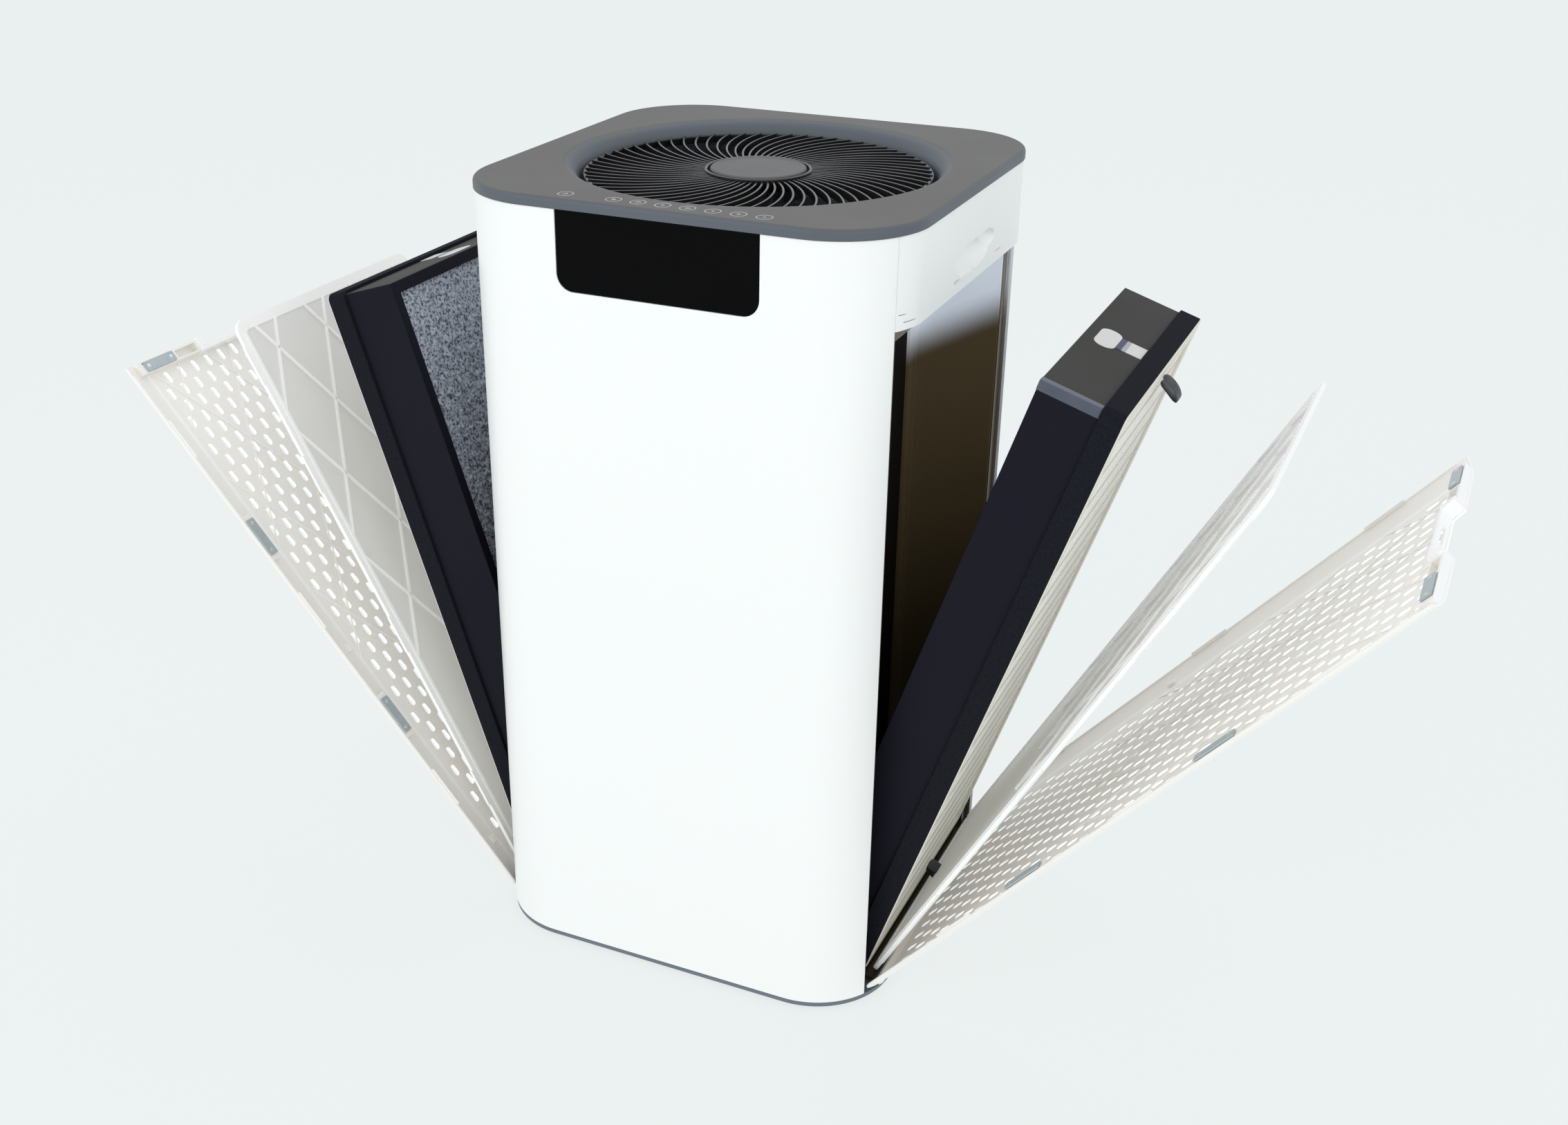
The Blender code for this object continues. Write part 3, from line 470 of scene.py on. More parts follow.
# The bowl's wall below its soft edge is shared by the cut and by the collar that lines it
bowl_wall = [(0.1431, TOP - 0.0080), (0.1418, TOP - 0.0108), (0.1408, TOP - 0.0140), (0.1402, TOP - 0.0180)]
bowl_profile = [(0.0, TOP + 0.02), (0.1570, TOP + 0.02), (0.1570, TOP + 0.0002), (0.1540, TOP - 0.0002),
                (0.1512, TOP - 0.0009), (0.1488, TOP - 0.0020), (0.1466, TOP - 0.0036),
                (0.1447, TOP - 0.0056), *bowl_wall, (0.0, TOP - 0.0180)]
take_away(plate, turned("bowl", bowl_profile, 96, closed=False))
collar_profile = [*bowl_wall, (0.1400, TOP - 0.0220), (0.1450, TOP - 0.0220), (0.1450, TOP - 0.0080)]
collar = turned("collar", collar_profile, 96)
gather(plate, collar)
soften(plate, 0.0)
plate.data.materials.append(plate_grey)
plate.data.materials.append(plate_side_painted_shade)
# Faces on the outer sides and down the bowl's wall take the painted shade, and the flat top keeps the plain
# grey.
for face in plate.data.polygons:
    outward = max(abs(face.center.x), abs(face.center.y)) > 0.12 and face.normal.z < 0.8
    bowl_side = Vector(face.center[:2]).length < 0.1515 and face.center.z < TOP - 0.0008
    face.material_index = 1 if outward or bowl_side else 0
fit(plate, "top_plate_cover", "tower", [], ["top_plate"])

key_print = finish("key_print", (0.60, 0.59, 0.56), (0.68, 0.67, 0.64), (0.5, 0.6))
KEY_PITCH = 0.0197
KEY_Y = -0.1664
PRINT_Z = TOP + 0.00006


def printed_ring(x, y, radius, line=0.00030):
    bpy.ops.object.select_all(action="DESELECT")
    bpy.ops.mesh.primitive_torus_add(location=(x, y, PRINT_Z), major_radius=radius, minor_radius=line,
                                     major_segments=28, minor_segments=6)
    ring = bpy.context.active_object
    ring.scale = (1.0, 1.0, 0.3)
    settle()
    return ring


def printed_bar(x, y, length, angle):
    """A short straight stroke, centred on a point."""
    bar = block("stroke", (-length / 2, -0.00025, -0.00009), (length / 2, 0.00025, 0.00009))
    bar.matrix_world = Matrix.Translation((x, y, PRINT_Z)) @ Matrix.Rotation(math.radians(angle), 4, "Z")
    settle()
    return bar


# Strokes of each mark: a length, an angle and an offset, or a ring where the angle is None
KEY_STROKES = {
    0: [(0.0017, None, 0.0, -0.0002), (0.0018, 90, 0.0, 0.0014)],
    2: [(0.0030, 0, 0.0, 0.0), (0.0014, None, 0.0, 0.0)],
    3: [(0.0019, None, 0.0, 0.0), (0.0015, 90, 0.0, 0.0007)],
    4: [(0.0026, 60, 0.0, 0.0), (0.0026, 120, 0.0, 0.0), (0.0026, 0, 0.0, 0.0)],
    5: [(0.0012, None, -0.0008, 0.0), (0.0012, None, 0.0009, 0.0)],
    6: [(0.0024, 45, 0.0, 0.0), (0.0008, None, 0.0, 0.0)],
    7: [(0.0028, 0, 0.0, 0.0008), (0.0028, 0, 0.0, -0.0008)],
    8: [(0.0026, 0, 0.0, 0.0), (0.0026, 90, 0.0, 0.0)],
}
marks = []
for place, strokes in KEY_STROKES.items():
    middle = (place - 4) * KEY_PITCH
    marks.append(printed_ring(middle, KEY_Y, 0.0058))
    for size, angle, across, along in strokes:
        if angle is None:
            marks.append(printed_ring(middle + across, KEY_Y + along, size, 0.00024))
        else:
            marks.append(printed_bar(middle + across, KEY_Y + along, size, angle))
gather(*marks)
fit(marks[0], "touch_marks", "tower", [key_print])

# ------------------------------------------------------------------ air outlet
# A gloss black grille of 64 fins that sweep back a little from a hub ring to an outer ring, all
# moulded in one, with a matt round cap pressed into its middle.
grille_black = finish("grille_black", (0.012, 0.012, 0.013), (0.018, 0.017, 0.017), (0.14, 0.22))
cap_grey = finish("cap_grey", (0.105, 0.103, 0.099), (0.120, 0.118, 0.113), (0.45, 0.55), grain=1500.0,
                  bump=0.10, specular=0.35)

FIN_COUNT = 64
FIN_SWEEP = math.radians(-22.0)
CAP_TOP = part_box("grille_cap")[1].z
HUB_TOP = CAP_TOP - 0.0010
FIN_START, FIN_END = 0.0410, 0.1362
FIN_STEPS = 14


def fin_point(share):
    """Where a fin's top edge runs at a share of the way out, as x, y and height."""
    radius = FIN_START + (FIN_END - FIN_START) * share
    angle = FIN_SWEEP * share ** 1.2
    height = (HUB_TOP - 0.0015) + (GRILLE_TOP - 0.001 - HUB_TOP + 0.0015) * share
    return Vector((radius * math.cos(angle), radius * math.sin(angle), height))


grille = drawn("grille", [fin_point(step / FIN_STEPS) for step in range(FIN_STEPS + 1)])
bpy.ops.mesh.extrude_region_move(TRANSFORM_OT_translate={"value": (0.0, 0.0, -0.0062)})
put_down()
work(grille, "SOLIDIFY", thickness=0.0018, offset=0.0)
work(grille, "BEVEL", width=0.0005, segments=2, limit_method="ANGLE", angle_limit=math.radians(50))
spoke = bpy.data.objects.new("spoke", None)
scene.collection.objects.link(spoke)
spoke.rotation_euler = (0.0, 0.0, 2 * math.pi / FIN_COUNT)
bpy.context.view_layer.update()
work(grille, "ARRAY", count=FIN_COUNT, use_relative_offset=False, use_object_offset=True,
     offset_object=spoke)
bpy.data.objects.remove(spoke)
RING_TOP = GRILLE_TOP - 0.0022
outer_ring = turned("outer_ring", [(0.1345, GRILLE_TOP - 0.008), (0.1375, GRILLE_TOP - 0.008),
                                   (0.1375, RING_TOP - 0.0004), (0.1371, RING_TOP), (0.1349, RING_TOP),
                                   (0.1345, RING_TOP - 0.0004)], 96)
hub_ring = turned("hub_ring", [(0.0320, HUB_TOP - 0.010), (0.0425, HUB_TOP - 0.010),
                               (0.0425, HUB_TOP - 0.0006), (0.0419, HUB_TOP), (0.0408, HUB_TOP),
                               (0.0402, HUB_TOP - 0.0006), (0.0402, HUB_TOP - 0.005),
                               (0.0320, HUB_TOP - 0.005)], 64)
gather(grille, outer_ring, hub_ring)
soften(grille, 0.0)
fit(grille, "swirl_grille", "tower", [grille_black], ["outlet_grille"])

cap_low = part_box("grille_cap")[0].z
cap_profile = [(0.0, cap_low), (0.0381, cap_low), (0.0381, CAP_TOP - 0.0014), (0.0378, CAP_TOP - 0.0008),
               (0.0373, CAP_TOP - 0.0003), (0.0362, CAP_TOP), (0.0340, CAP_TOP), (0.0332, CAP_TOP - 0.0004),
               (0.0200, CAP_TOP - 0.0002), (0.0, CAP_TOP - 0.0001)]
cap = turned("cap", cap_profile, 64, closed=False)
soften(cap, 0.0)
fit(cap, "outlet_cap", "tower", [cap_grey], ["grille_cap"])

# ------------------------------------------------------------------ fan
# A black axial rotor on a steel motor, under a four-armed bracket, in a ring in the fan deck.
# Only glints of it show between the grille's fins.
inner_black = finish("inner_black", (0.012, 0.012, 0.014), (0.022, 0.021, 0.021), (0.35, 0.5), grain=700.0)
motor_steel = finish("motor_steel", (0.36, 0.37, 0.38), (0.45, 0.46, 0.46), (0.30, 0.42), metallic=0.9,
                     grain=2200.0)
for node in ("fan_rotor", "fan_deck"):
    carry(node, inner_black)
for node in ("motor", "motor_shaft", "motor_bracket", "rotor_nut"):
    carry(node, motor_steel)

# ------------------------------------------------------------------ rear fittings
# A moulded appliance inlet near the floor and a slotted air quality sensor higher up the back.
for node in ("power_inlet", "air_quality_sensor"):
    carry(node, inner_black)


# ------------------------------------------------------------------ decks
# The white band over each opening, flush with the shells, with a finger scoop pressed into its
# middle, two small catch slots by its front end and one further back.
def lean_out(piece, layer):
    """Turns a piece modelled on the closed right side to where its layer leans."""
    hinge = next(joint for joint in frame["joints"] if joint["name"] == f"right_{layer}_tilt")
    pivot = Matrix.Translation(hinge["pos_m"])
    lean = Matrix.Rotation(math.radians(-hinge["range_deg"][0]), 4, "Y")
    piece.matrix_world = pivot @ lean @ pivot.inverted()
    take_up(piece)
    settle()


def fit_both_sides(piece, name, finishes, nodes=(), layer=None):
    """Leans a piece out with its layer, fits it on the right, and a copy turned half round on the left."""
    if layer:
        lean_out(piece, layer)
    if len(piece.data.materials) == 0:
        for material in finishes:
            piece.data.materials.append(material)
    twin = piece.copy()
    twin.data = piece.data.copy()
    scene.collection.objects.link(twin)
    turn_half_round(twin)
    for side, one in (("right", piece), ("left", twin)):
        body = f"{side}_{layer}" if layer else "tower"
        fit(one, f"{side}_{name}", body, finishes, [f"{side}_{node}" for node in nodes])
    return piece, twin


DECK_LOW, DECK_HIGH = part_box("right_deck")
SIDE_Y = 0.1447


def side_slab(name, inset, low, high, inner_x):
    """A solid slab of the tower's side between the seams, out to the rounded outline."""
    slab = rounded_block(name, (-HALF + inset, -HALF + inset, low), (HALF - inset, HALF - inset, high),
                         CORNER - inset, 24)
    bisect(slab, (0.0, SIDE_Y, 0.0), (0.0, 1.0, 0.0), fill=True)
    bisect(slab, (0.0, -SIDE_Y, 0.0), (0.0, -1.0, 0.0), fill=True)
    bisect(slab, (inner_x, 0.0, 0.0), (-1.0, 0.0, 0.0), fill=True)
    return slab


deck = side_slab("deck", 0.0, DECK_LOW.z, DECK_HIGH.z, 0.1655)


def hollow(middle, radii):
    """An egg shape that presses a finger recess into the deck."""
    bpy.ops.object.select_all(action="DESELECT")
    bpy.ops.mesh.primitive_uv_sphere_add(segments=48, ring_count=24, radius=1.0)
    egg = bpy.context.active_object
    egg.scale = radii
    egg.location = middle
    settle()
    return egg


catches = [block("catch", (0.1600, -0.1385, 0.5930), (0.1830, -0.1250, 0.5938)),
           block("catch", (0.1600, -0.1430, 0.5990), (0.1830, -0.1360, 0.5997)),
           block("catch", (0.1785, 0.0560, 0.5966), (0.1830, 0.0700, 0.5974))]
take_away(deck, hollow((0.1830, -0.0040, 0.6085), (0.0150, 0.0420, 0.0125)),
          hollow((0.1830, 0.0280, 0.6130), (0.0085, 0.0230, 0.0085)),
          block("scoop_floor", (0.1770, -0.0460, 0.5965), (0.1830, 0.0050, 0.5990)),
          block("lower_step", (0.1794, -0.1500, 0.5800), (0.1830, 0.1500, 0.5960)), *catches)
soften(deck, 0.0005)
fit_both_sides(deck, "deck_band", [shell_white], ["deck"])

# ------------------------------------------------------------------ bay liners
# A glossy smoked tray that the filter slides into, with an air window in its back, a flange
# round its mouth and a steel strip on the flange that the cover's magnets hold to.
LINER_LOW, LINER_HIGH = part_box("right_bay_liner")
MOUTH_X = 0.1652


def smoked_liner_painted_light():
    """Gloss smoked plastic with painted light and shade: pale where light from above falls in at the top,
    painted shade taking it brown to black below, and a painted glow in the same colours.
    """
    material = finish("smoked_liner_painted_light", (0.055, 0.040, 0.020), (0.070, 0.052, 0.027), (0.16, 0.26), drift=7.0,
                      bump=0.0, specular=0.3)
    make, join = material.node_tree.nodes.new, material.node_tree.links.new
    shader, surface = material.node_tree.nodes["Principled BSDF"], material.node_tree.nodes["surface"]
    place, parts, away, fall = (make(f"ShaderNode{kind}")
                                for kind in ("TexCoord", "SeparateXYZ", "Math", "Math"))
    join(place.outputs["Object"], parts.inputs["Vector"])
    away.operation = "ABSOLUTE"
    join(parts.outputs["X"], away.inputs[0])
    fall.operation = "MULTIPLY_ADD"
    fall.inputs[1].default_value = -0.56
    join(away.outputs["Value"], fall.inputs[0])
    join(parts.outputs["Z"], fall.inputs[2])
    shade = surface.outputs["Colour"]
    # Painted light and shade by height: the lower band paints shade that takes the tray to black deep down,
    # and the upper band paints the light falling in at the top.
    light_and_shade_bands = ((0.10, 0.40, (0.0, 0.0, 0.0, 1.0), True), (0.418, 0.458, (0.62, 0.67, 0.73, 1.0), False))
    for low, high, colour, paints_shade in light_and_shade_bands:
        level, blend = make("ShaderNodeMapRange"), make("ShaderNodeMix")
        level.interpolation_type = "SMOOTHSTEP"
        level.inputs["From Min"].default_value = low
        level.inputs["From Max"].default_value = high
        level.inputs["To Min"].default_value = 0.85 if paints_shade else 0.0
        level.inputs["To Max"].default_value = 0.0 if paints_shade else 1.0
        blend.data_type = "RGBA"
        blend.inputs["B"].default_value = colour
        join(fall.outputs["Value"], level.inputs["Value"])
        join(level.outputs["Result"], blend.inputs["Factor"])
        join(shade, blend.inputs["A"])
        shade = blend.outputs["Result"]
    join(shade, shader.inputs["Base Color"])
    # The painted colours also glow, so the tray gives off painted light of its own.
    join(shade, shader.inputs["Emission Color"])
    shader.inputs["Emission Strength"].default_value = 0.38
    return material


liner_finish = smoked_liner_painted_light()
liner = block("liner", (LINER_LOW.x, -0.1325, 0.0105), (MOUTH_X - 0.0004, 0.1325, 0.5875))
add_on(liner, block("flange", (MOUTH_X - 0.003, -0.1465, 0.0108), (MOUTH_X, 0.1465, 0.5870)),
       block("sill", (MOUTH_X - 0.006, -0.1295, 0.0107), (0.1720, 0.1295, 0.0137)))
take_away(liner, block("cavity", (LINER_LOW.x + WALL, -0.1300, 0.0140), (0.2000, 0.1300, 0.5765)),
          block("air_window", (0.08, -0.1080, 0.0500), (0.10, 0.1080, 0.5400)))
ridges = []
for offset in (0.1352, 0.1378, 0.1430):
    for sign in (-1, 1):
        ridges.append(block("ridge", (MOUTH_X - 0.0005, sign * offset - 0.0006, 0.0300),
                            (MOUTH_X + 0.0002, sign * offset + 0.0006, 0.5740)))
for sign in (1, -1):
    near, far = sorted((sign * 0.1215, sign * 0.1298))
    ridges.append(rounded_block("corner_strip", (LINER_LOW.x + WALL, near, 0.0145),
                                (LINER_LOW.x + WALL + 0.0010, far, 0.5760), 0.0008, 4))
gather(liner, *ridges)
soften(liner, 0.0006)
fit_both_sides(liner, "smoked_bay", [liner_finish], ["bay_liner"])

strike_steel = finish("strike_steel", (0.115, 0.092, 0.055), (0.150, 0.120, 0.075), (0.22, 0.32),
                      metallic=0.3, grain=2200.0)
# The intake guard is painted near-black brown with little gloss, as painted shadow, so its bars sink into the
# shade behind the air window.
guard_painted_shadow = finish("guard_painted_shadow", (0.006, 0.005, 0.004), (0.010, 0.008, 0.006), (0.6, 0.8), specular=0.1)
for side in ("right", "left"):
    carry(f"{side}_strike_strip", strike_steel)
    carry(f"{side}_intake_guard", guard_painted_shadow)


def woven(material, least, most):
    """Lets light between two crossing sets of threads, read from the sheet's own flat map in metres."""
    make, join = material.node_tree.nodes.new, material.node_tree.links.new
    shader = material.node_tree.nodes["Principled BSDF"]
    flat, meet, level = make("ShaderNodeUVMap"), make("ShaderNodeMath"), make("ShaderNodeMapRange")
    flat.uv_map = "UVMap"
    meet.operation = "MAXIMUM"
    for index, direction in enumerate(("X", "Y")):
        threads = make("ShaderNodeTexWave")
        threads.bands_direction = direction
        threads.inputs["Scale"].default_value = 160.0
        join(flat.outputs["UV"], threads.inputs["Vector"])
        join(threads.outputs["Fac"], meet.inputs[index])
    level.inputs["To Min"].default_value = least
    level.inputs["To Max"].default_value = most
    join(meet.outputs["Value"], level.inputs["Value"])
    join(level.outputs["Result"], shader.inputs["Alpha"])
    return material


def net_sheet(name, x, low, high):
    """A thin upright sheet whose flat map is its own width and height."""
    sheet = block(name, (x - 0.0002, *low), (x + 0.0002, *high))
    for loop in sheet.data.loops:
        corner = sheet.data.vertices[loop.vertex_index].co
        sheet.data.uv_layers["UVMap"].data[loop.index].uv = (corner.y, corner.z)
    return sheet


# A near-opaque brown-black woven sheet over the tray's air window: a sheet of painted shade where the window
# shows only shadow.
screen_painted_shade = woven(finish("screen_painted_shade", (0.010, 0.008, 0.006), (0.016, 0.012, 0.008), (0.6, 0.8),
                            specular=0.1), 0.90, 1.0)
shade_screen = net_sheet("shade_screen", LINER_LOW.x - 0.0004, (-0.1110, 0.0470), (0.1110, 0.5430))
fit_both_sides(shade_screen, "intake_shade_screen", [screen_painted_shade])

# ------------------------------------------------------------------ composite filters
# A black card box with a felt rim on its outer edge, a pleated paper pack inside, and behind it
# a panel of coated granules. A ribbon loop near each end pulls it out.
card_black = finish("card_black", (0.0065, 0.0060, 0.0125), (0.0095, 0.0085, 0.0170), (0.60, 0.75),
                    grain=900.0, bump=0.25, specular=0.12)
# A lighter warm grey for the box's top end: painted light where light from above falls on the black card.
card_top_painted_light = finish("card_top_painted_light", (0.033, 0.031, 0.028), (0.042, 0.039, 0.035), (0.60, 0.75), grain=900.0,
                   bump=0.25, specular=0.25)
felt_black = finish("felt_black", (0.0040, 0.0045, 0.0075), (0.0170, 0.0185, 0.0260), (0.85, 0.95),
                    drift=420.0, grain=2600.0, bump=0.6, specular=0.1)
# The pleated paper glows a little: painted light for the light let through it.
paper_white = finish("paper_white", (0.82, 0.82, 0.78), (0.86, 0.86, 0.83), (0.8, 0.9), grain=1800.0,
                     bump=0.3, glow=0.12)
glue_clear = finish("glue_clear", (0.66, 0.64, 0.56), (0.72, 0.70, 0.62), (0.25, 0.35))
# The cream face card glows a little: painted light.
edge_card = finish("edge_card", (0.72, 0.69, 0.60), (0.78, 0.75, 0.67), (0.7, 0.8), glow=0.07)

FILTER_X, FILTER_Z = 0.1630, 0.0160
FILTER_LENGTH, FILTER_HALF, FILTER_DEPTH = 0.5550, 0.1265, 0.0660
RIM_DEPTH, RIM_LIP, FRAME_WALL = 0.0180, 0.0030, 0.0130
INNER_HALF = FILTER_HALF - FRAME_WALL


def filter_block(name, low, high, radius=0.0, steps=4):
    """A box of the filter, measured inward from its outer face and up from its bottom edge."""
    low = (FILTER_X + low[0], low[1], FILTER_Z + low[2])
    high = (FILTER_X + high[0], high[1], FILTER_Z + high[2])
    return rounded_block(name, low, high, radius, steps, axis=0) if radius else block(name, low, high)


def filter_opening(margin=0.0):
    return filter_block("opening", (-0.1, -INNER_HALF - margin, FRAME_WALL - margin),
                        (0.1, INNER_HALF + margin, FILTER_LENGTH - FRAME_WALL + margin))


box = filter_block("box", (-FILTER_DEPTH, -FILTER_HALF + RIM_LIP, RIM_LIP),
                   (-RIM_DEPTH + 0.002, FILTER_HALF - RIM_LIP, FILTER_LENGTH - RIM_LIP))
take_away(box, filter_opening())
soften(box, 0.0008)
box.data.materials.append(card_black)
box.data.materials.append(card_top_painted_light)
# The upward face at the top end takes the painted light.
for face in box.data.polygons:
    face.material_index = 1 if face.normal.z > 0.7 and face.center.z > FILTER_Z + FILTER_LENGTH - 0.006 else 0
fit_both_sides(box, "filter_box", [], ["filter_frame"], "filter")

rim = filter_block("rim", (-RIM_DEPTH, -FILTER_HALF, 0.0), (-0.0008, FILTER_HALF, FILTER_LENGTH), 0.006)
take_away(rim, filter_opening(0.0009))
soften(rim, 0.0010, 3)
fit_both_sides(rim, "filter_felt_rim", [felt_black], (), "filter")

face_card = filter_block("face_card", (-0.0009, -FILTER_HALF + 0.0008, 0.0008),
                         (0.0, FILTER_HALF - 0.0008, FILTER_LENGTH - 0.0008), 0.005)
add_on(face_card, filter_block("card_return", (-0.0060, -INNER_HALF - 0.0008, FRAME_WALL - 0.0008),
                               (-0.0004, INNER_HALF + 0.0008, FILTER_LENGTH - FRAME_WALL + 0.0008)))
take_away(face_card, filter_opening(-0.0008))
soften(face_card, 0.0002, 1)
fit_both_sides(face_card, "filter_face_card", [edge_card], (), "filter")

PLEAT_PITCH = 0.0042
PLEAT_COUNT = 53
PACK_LOW, PACK_HIGH = FRAME_WALL + 0.0005, FILTER_LENGTH - FRAME_WALL - 0.0005
bpy.ops.object.select_all(action="DESELECT")
bpy.ops.mesh.primitive_grid_add(x_subdivisions=4, y_subdivisions=1, size=1.0)
pleats = bpy.context.active_object
pleats.scale = (PLEAT_PITCH, PACK_HIGH - PACK_LOW, 1.0)
pleats.rotation_euler = (math.radians(90.0), 0.0, math.radians(90.0))
settle()
pick(pleats, "VERT", lambda vert: abs(vert.co.y) < PLEAT_PITCH * 0.3)
bpy.ops.transform.translate(value=(-0.0340, 0.0, 0.0))
put_down()
pleats.location = (FILTER_X - 0.0022, -PLEAT_PITCH * (PLEAT_COUNT - 1) / 2,
                   FILTER_Z + (PACK_LOW + PACK_HIGH) / 2)
settle()
work(pleats, "ARRAY", count=PLEAT_COUNT, use_relative_offset=False, use_constant_offset=True,
     constant_offset_displace=(0.0, PLEAT_PITCH, 0.0), use_merge_vertices=True, merge_threshold=0.0001)
work(pleats, "SOLIDIFY", thickness=0.0004, offset=0.0)
soften(pleats, 0.0)
fit_both_sides(pleats, "pleat_pack", [paper_white], ["pleated_media"], "filter")

beads = []
for row in range(18):
    height = PACK_LOW + 0.015 + row * 0.0290
    beads.append(filter_block("bead", (-0.0032, -INNER_HALF + 0.001, height - 0.0009),
                              (-0.0014, INNER_HALF - 0.001, height + 0.0009), 0.0006, 2))
gather(*beads)
soften(beads[0], 0.0)
fit_both_sides(beads[0], "glue_beads", [glue_clear], (), "filter")


def coated_granules():
    """Granules under a thin white net: pale blue-grey, speckled with painted shade for the dark hollows
    between them.
    """
    material = finish("coated_granules", (0.40, 0.44, 0.52), (0.66, 0.70, 0.76), (0.30, 0.55), drift=160.0,
                      grain=1500.0, bump=0.5)
    make, join = material.node_tree.nodes.new, material.node_tree.links.new
    shader, surface = material.node_tree.nodes["Principled BSDF"], material.node_tree.nodes["surface"]
    place, painted_hollow_shade, level, blend = (make(f"ShaderNode{kind}")
                                   for kind in ("TexCoord", "TexNoise", "MapRange", "Mix"))
    painted_hollow_shade.inputs["Scale"].default_value = 420.0
    painted_hollow_shade.inputs["Detail"].default_value = 2.0
    level.inputs["From Min"].default_value = 0.36
    level.inputs["From Max"].default_value = 0.56
    blend.data_type = "RGBA"
    blend.inputs["A"].default_value = (0.075, 0.086, 0.118, 1.0)
    join(place.outputs["Object"], painted_hollow_shade.inputs["Vector"])
    join(painted_hollow_shade.outputs["Fac"], level.inputs["Value"])
    join(level.outputs["Result"], blend.inputs["Factor"])
    join(surface.outputs["Colour"], blend.inputs["B"])
    join(blend.outputs["Result"], shader.inputs["Base Color"])
    return material


bpy.ops.object.select_all(action="DESELECT")
bpy.ops.mesh.primitive_grid_add(x_subdivisions=250, y_subdivisions=106, size=1.0)
granules = bpy.context.active_object
granules.scale = (PACK_HIGH - PACK_LOW, 2 * INNER_HALF - 0.0008, 1.0)
granules.rotation_euler = (0.0, math.radians(-90.0), 0.0)
granules.location = (FILTER_X - FILTER_DEPTH + 0.0045, 0.0, FILTER_Z + (PACK_LOW + PACK_HIGH) / 2)
settle()
lumps = bpy.data.textures.new("granule_lumps", "VORONOI")
lumps.noise_scale = 0.0042
work(granules, "DISPLACE", texture=lumps, texture_coords="LOCAL", strength=0.0030, mid_level=0.5)
work(granules, "SOLIDIFY", thickness=0.0150, offset=-1.0)
soften(granules, 0.0)
fit_both_sides(granules, "granule_panel", [coated_granules()], ["carbon_panel"], "filter")

tape_grey = finish("tape_grey", (0.052, 0.062, 0.090), (0.085, 0.100, 0.135), (0.18, 0.35), drift=60.0)
box_side, box_end = -FILTER_HALF + RIM_LIP, FILTER_LENGTH - RIM_LIP
tape = filter_block("tape", (-FILTER_DEPTH - 0.0003, box_side - 0.0003, box_end - 0.0080),
                    (-RIM_DEPTH - 0.0002, box_side + 0.0070, box_end + 0.0003))
soften(tape, 0.0006)
fit_both_sides(tape, "edge_tape", [tape_grey], (), "filter")

label_white = finish("label_white", (0.62, 0.61, 0.58), (0.70, 0.69, 0.66), (0.45, 0.6), drift=160.0)
label_navy = finish("label_navy", (0.045, 0.048, 0.110), (0.060, 0.065, 0.130), (0.45, 0.6))
label_blue = finish("label_blue", (0.33, 0.37, 0.40), (0.38, 0.42, 0.44), (0.45, 0.6))
LABEL_Z = FILTER_LENGTH - RIM_LIP
TAIL_X = FILTER_X - 0.0402
NAVY_END, BLUE_END = 0.0050, 0.0085
label = rounded_block("label", (FILTER_X - 0.0570, -0.0160, FILTER_Z + LABEL_Z - 0.0001),
                      (FILTER_X - 0.0400, 0.0220, FILTER_Z + LABEL_Z + 0.0004), 0.0080, 8)
tail = block("label_tail", (TAIL_X, -0.0080, FILTER_Z + LABEL_Z - 0.0001),
             (FILTER_X - 0.0190, 0.0150, FILTER_Z + LABEL_Z + 0.00038))
for offset in (NAVY_END, BLUE_END):
    pick(tail, "FACE", lambda face: True)
    bpy.ops.mesh.bisect(plane_co=(TAIL_X + offset, 0.0, 0.0), plane_no=(1.0, 0.0, 0.0))
    put_down()
for material in (label_white, label_navy, label_blue):
    label.data.materials.append(material)
    tail.data.materials.append(material)
for face in tail.data.polygons:
    along = face.center.x - TAIL_X
    face.material_index = 1 if along < NAVY_END else 2 if along < BLUE_END else 0
gather(label, tail)
soften(label, 0.0)
fit_both_sides(label, "blank_label", [], (), "filter")

ribbon_black = finish("ribbon_black", (0.0050, 0.0060, 0.0110), (0.0120, 0.0150, 0.0260), (0.30, 0.5),
                      drift=90.0, grain=2600.0, bump=0.4)
TAB_OUT, TAB_THICK, TAB_WIDTH = 0.0190, 0.0009, 0.0170


def ribbon_loop(name, height, droop):
    """A strap folded on itself, stitched to the outer face and standing off it."""
    strap = [(0.0000, 0.0022), (0.0060, 0.0030), (0.0120, 0.0034), (0.0165, 0.0026), (TAB_OUT, 0.0),
             (0.0165, -0.0026), (0.0120, -0.0034), (0.0060, -0.0030), (0.0000, -0.0022)]
    loop = drawn(name, [(out, -TAB_WIDTH / 2, up - droop * (out / TAB_OUT) ** 1.5) for out, up in strap])
    bpy.ops.mesh.extrude_region_move(TRANSFORM_OT_translate={"value": (0.0, TAB_WIDTH, 0.0)})
    put_down()
    loop.location = (FILTER_X, 0.006, FILTER_Z + height)
    settle()
    work(loop, "SOLIDIFY", thickness=TAB_THICK, offset=0.0)
    work(loop, "SUBSURF", levels=2, render_levels=2)
    return loop


FILTER_LEAN = math.radians(18.0)
for end, height, droop in (("top", FILTER_LENGTH - 0.0140, 0.0100), ("bottom", 0.0300, 0.0060)):
    loop = ribbon_loop(f"ribbon_{end}", height, droop)
    pair = fit_both_sides(loop, f"ribbon_{end}", [ribbon_black], [f"pull_tab_{end}"],
                          "filter")
    for side, sign, one in (("right", 1, pair[0]), ("left", -1, pair[1])):
        outward = Vector((sign * math.cos(FILTER_LEAN), 0.0, -math.sin(FILTER_LEAN)))
        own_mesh(one)

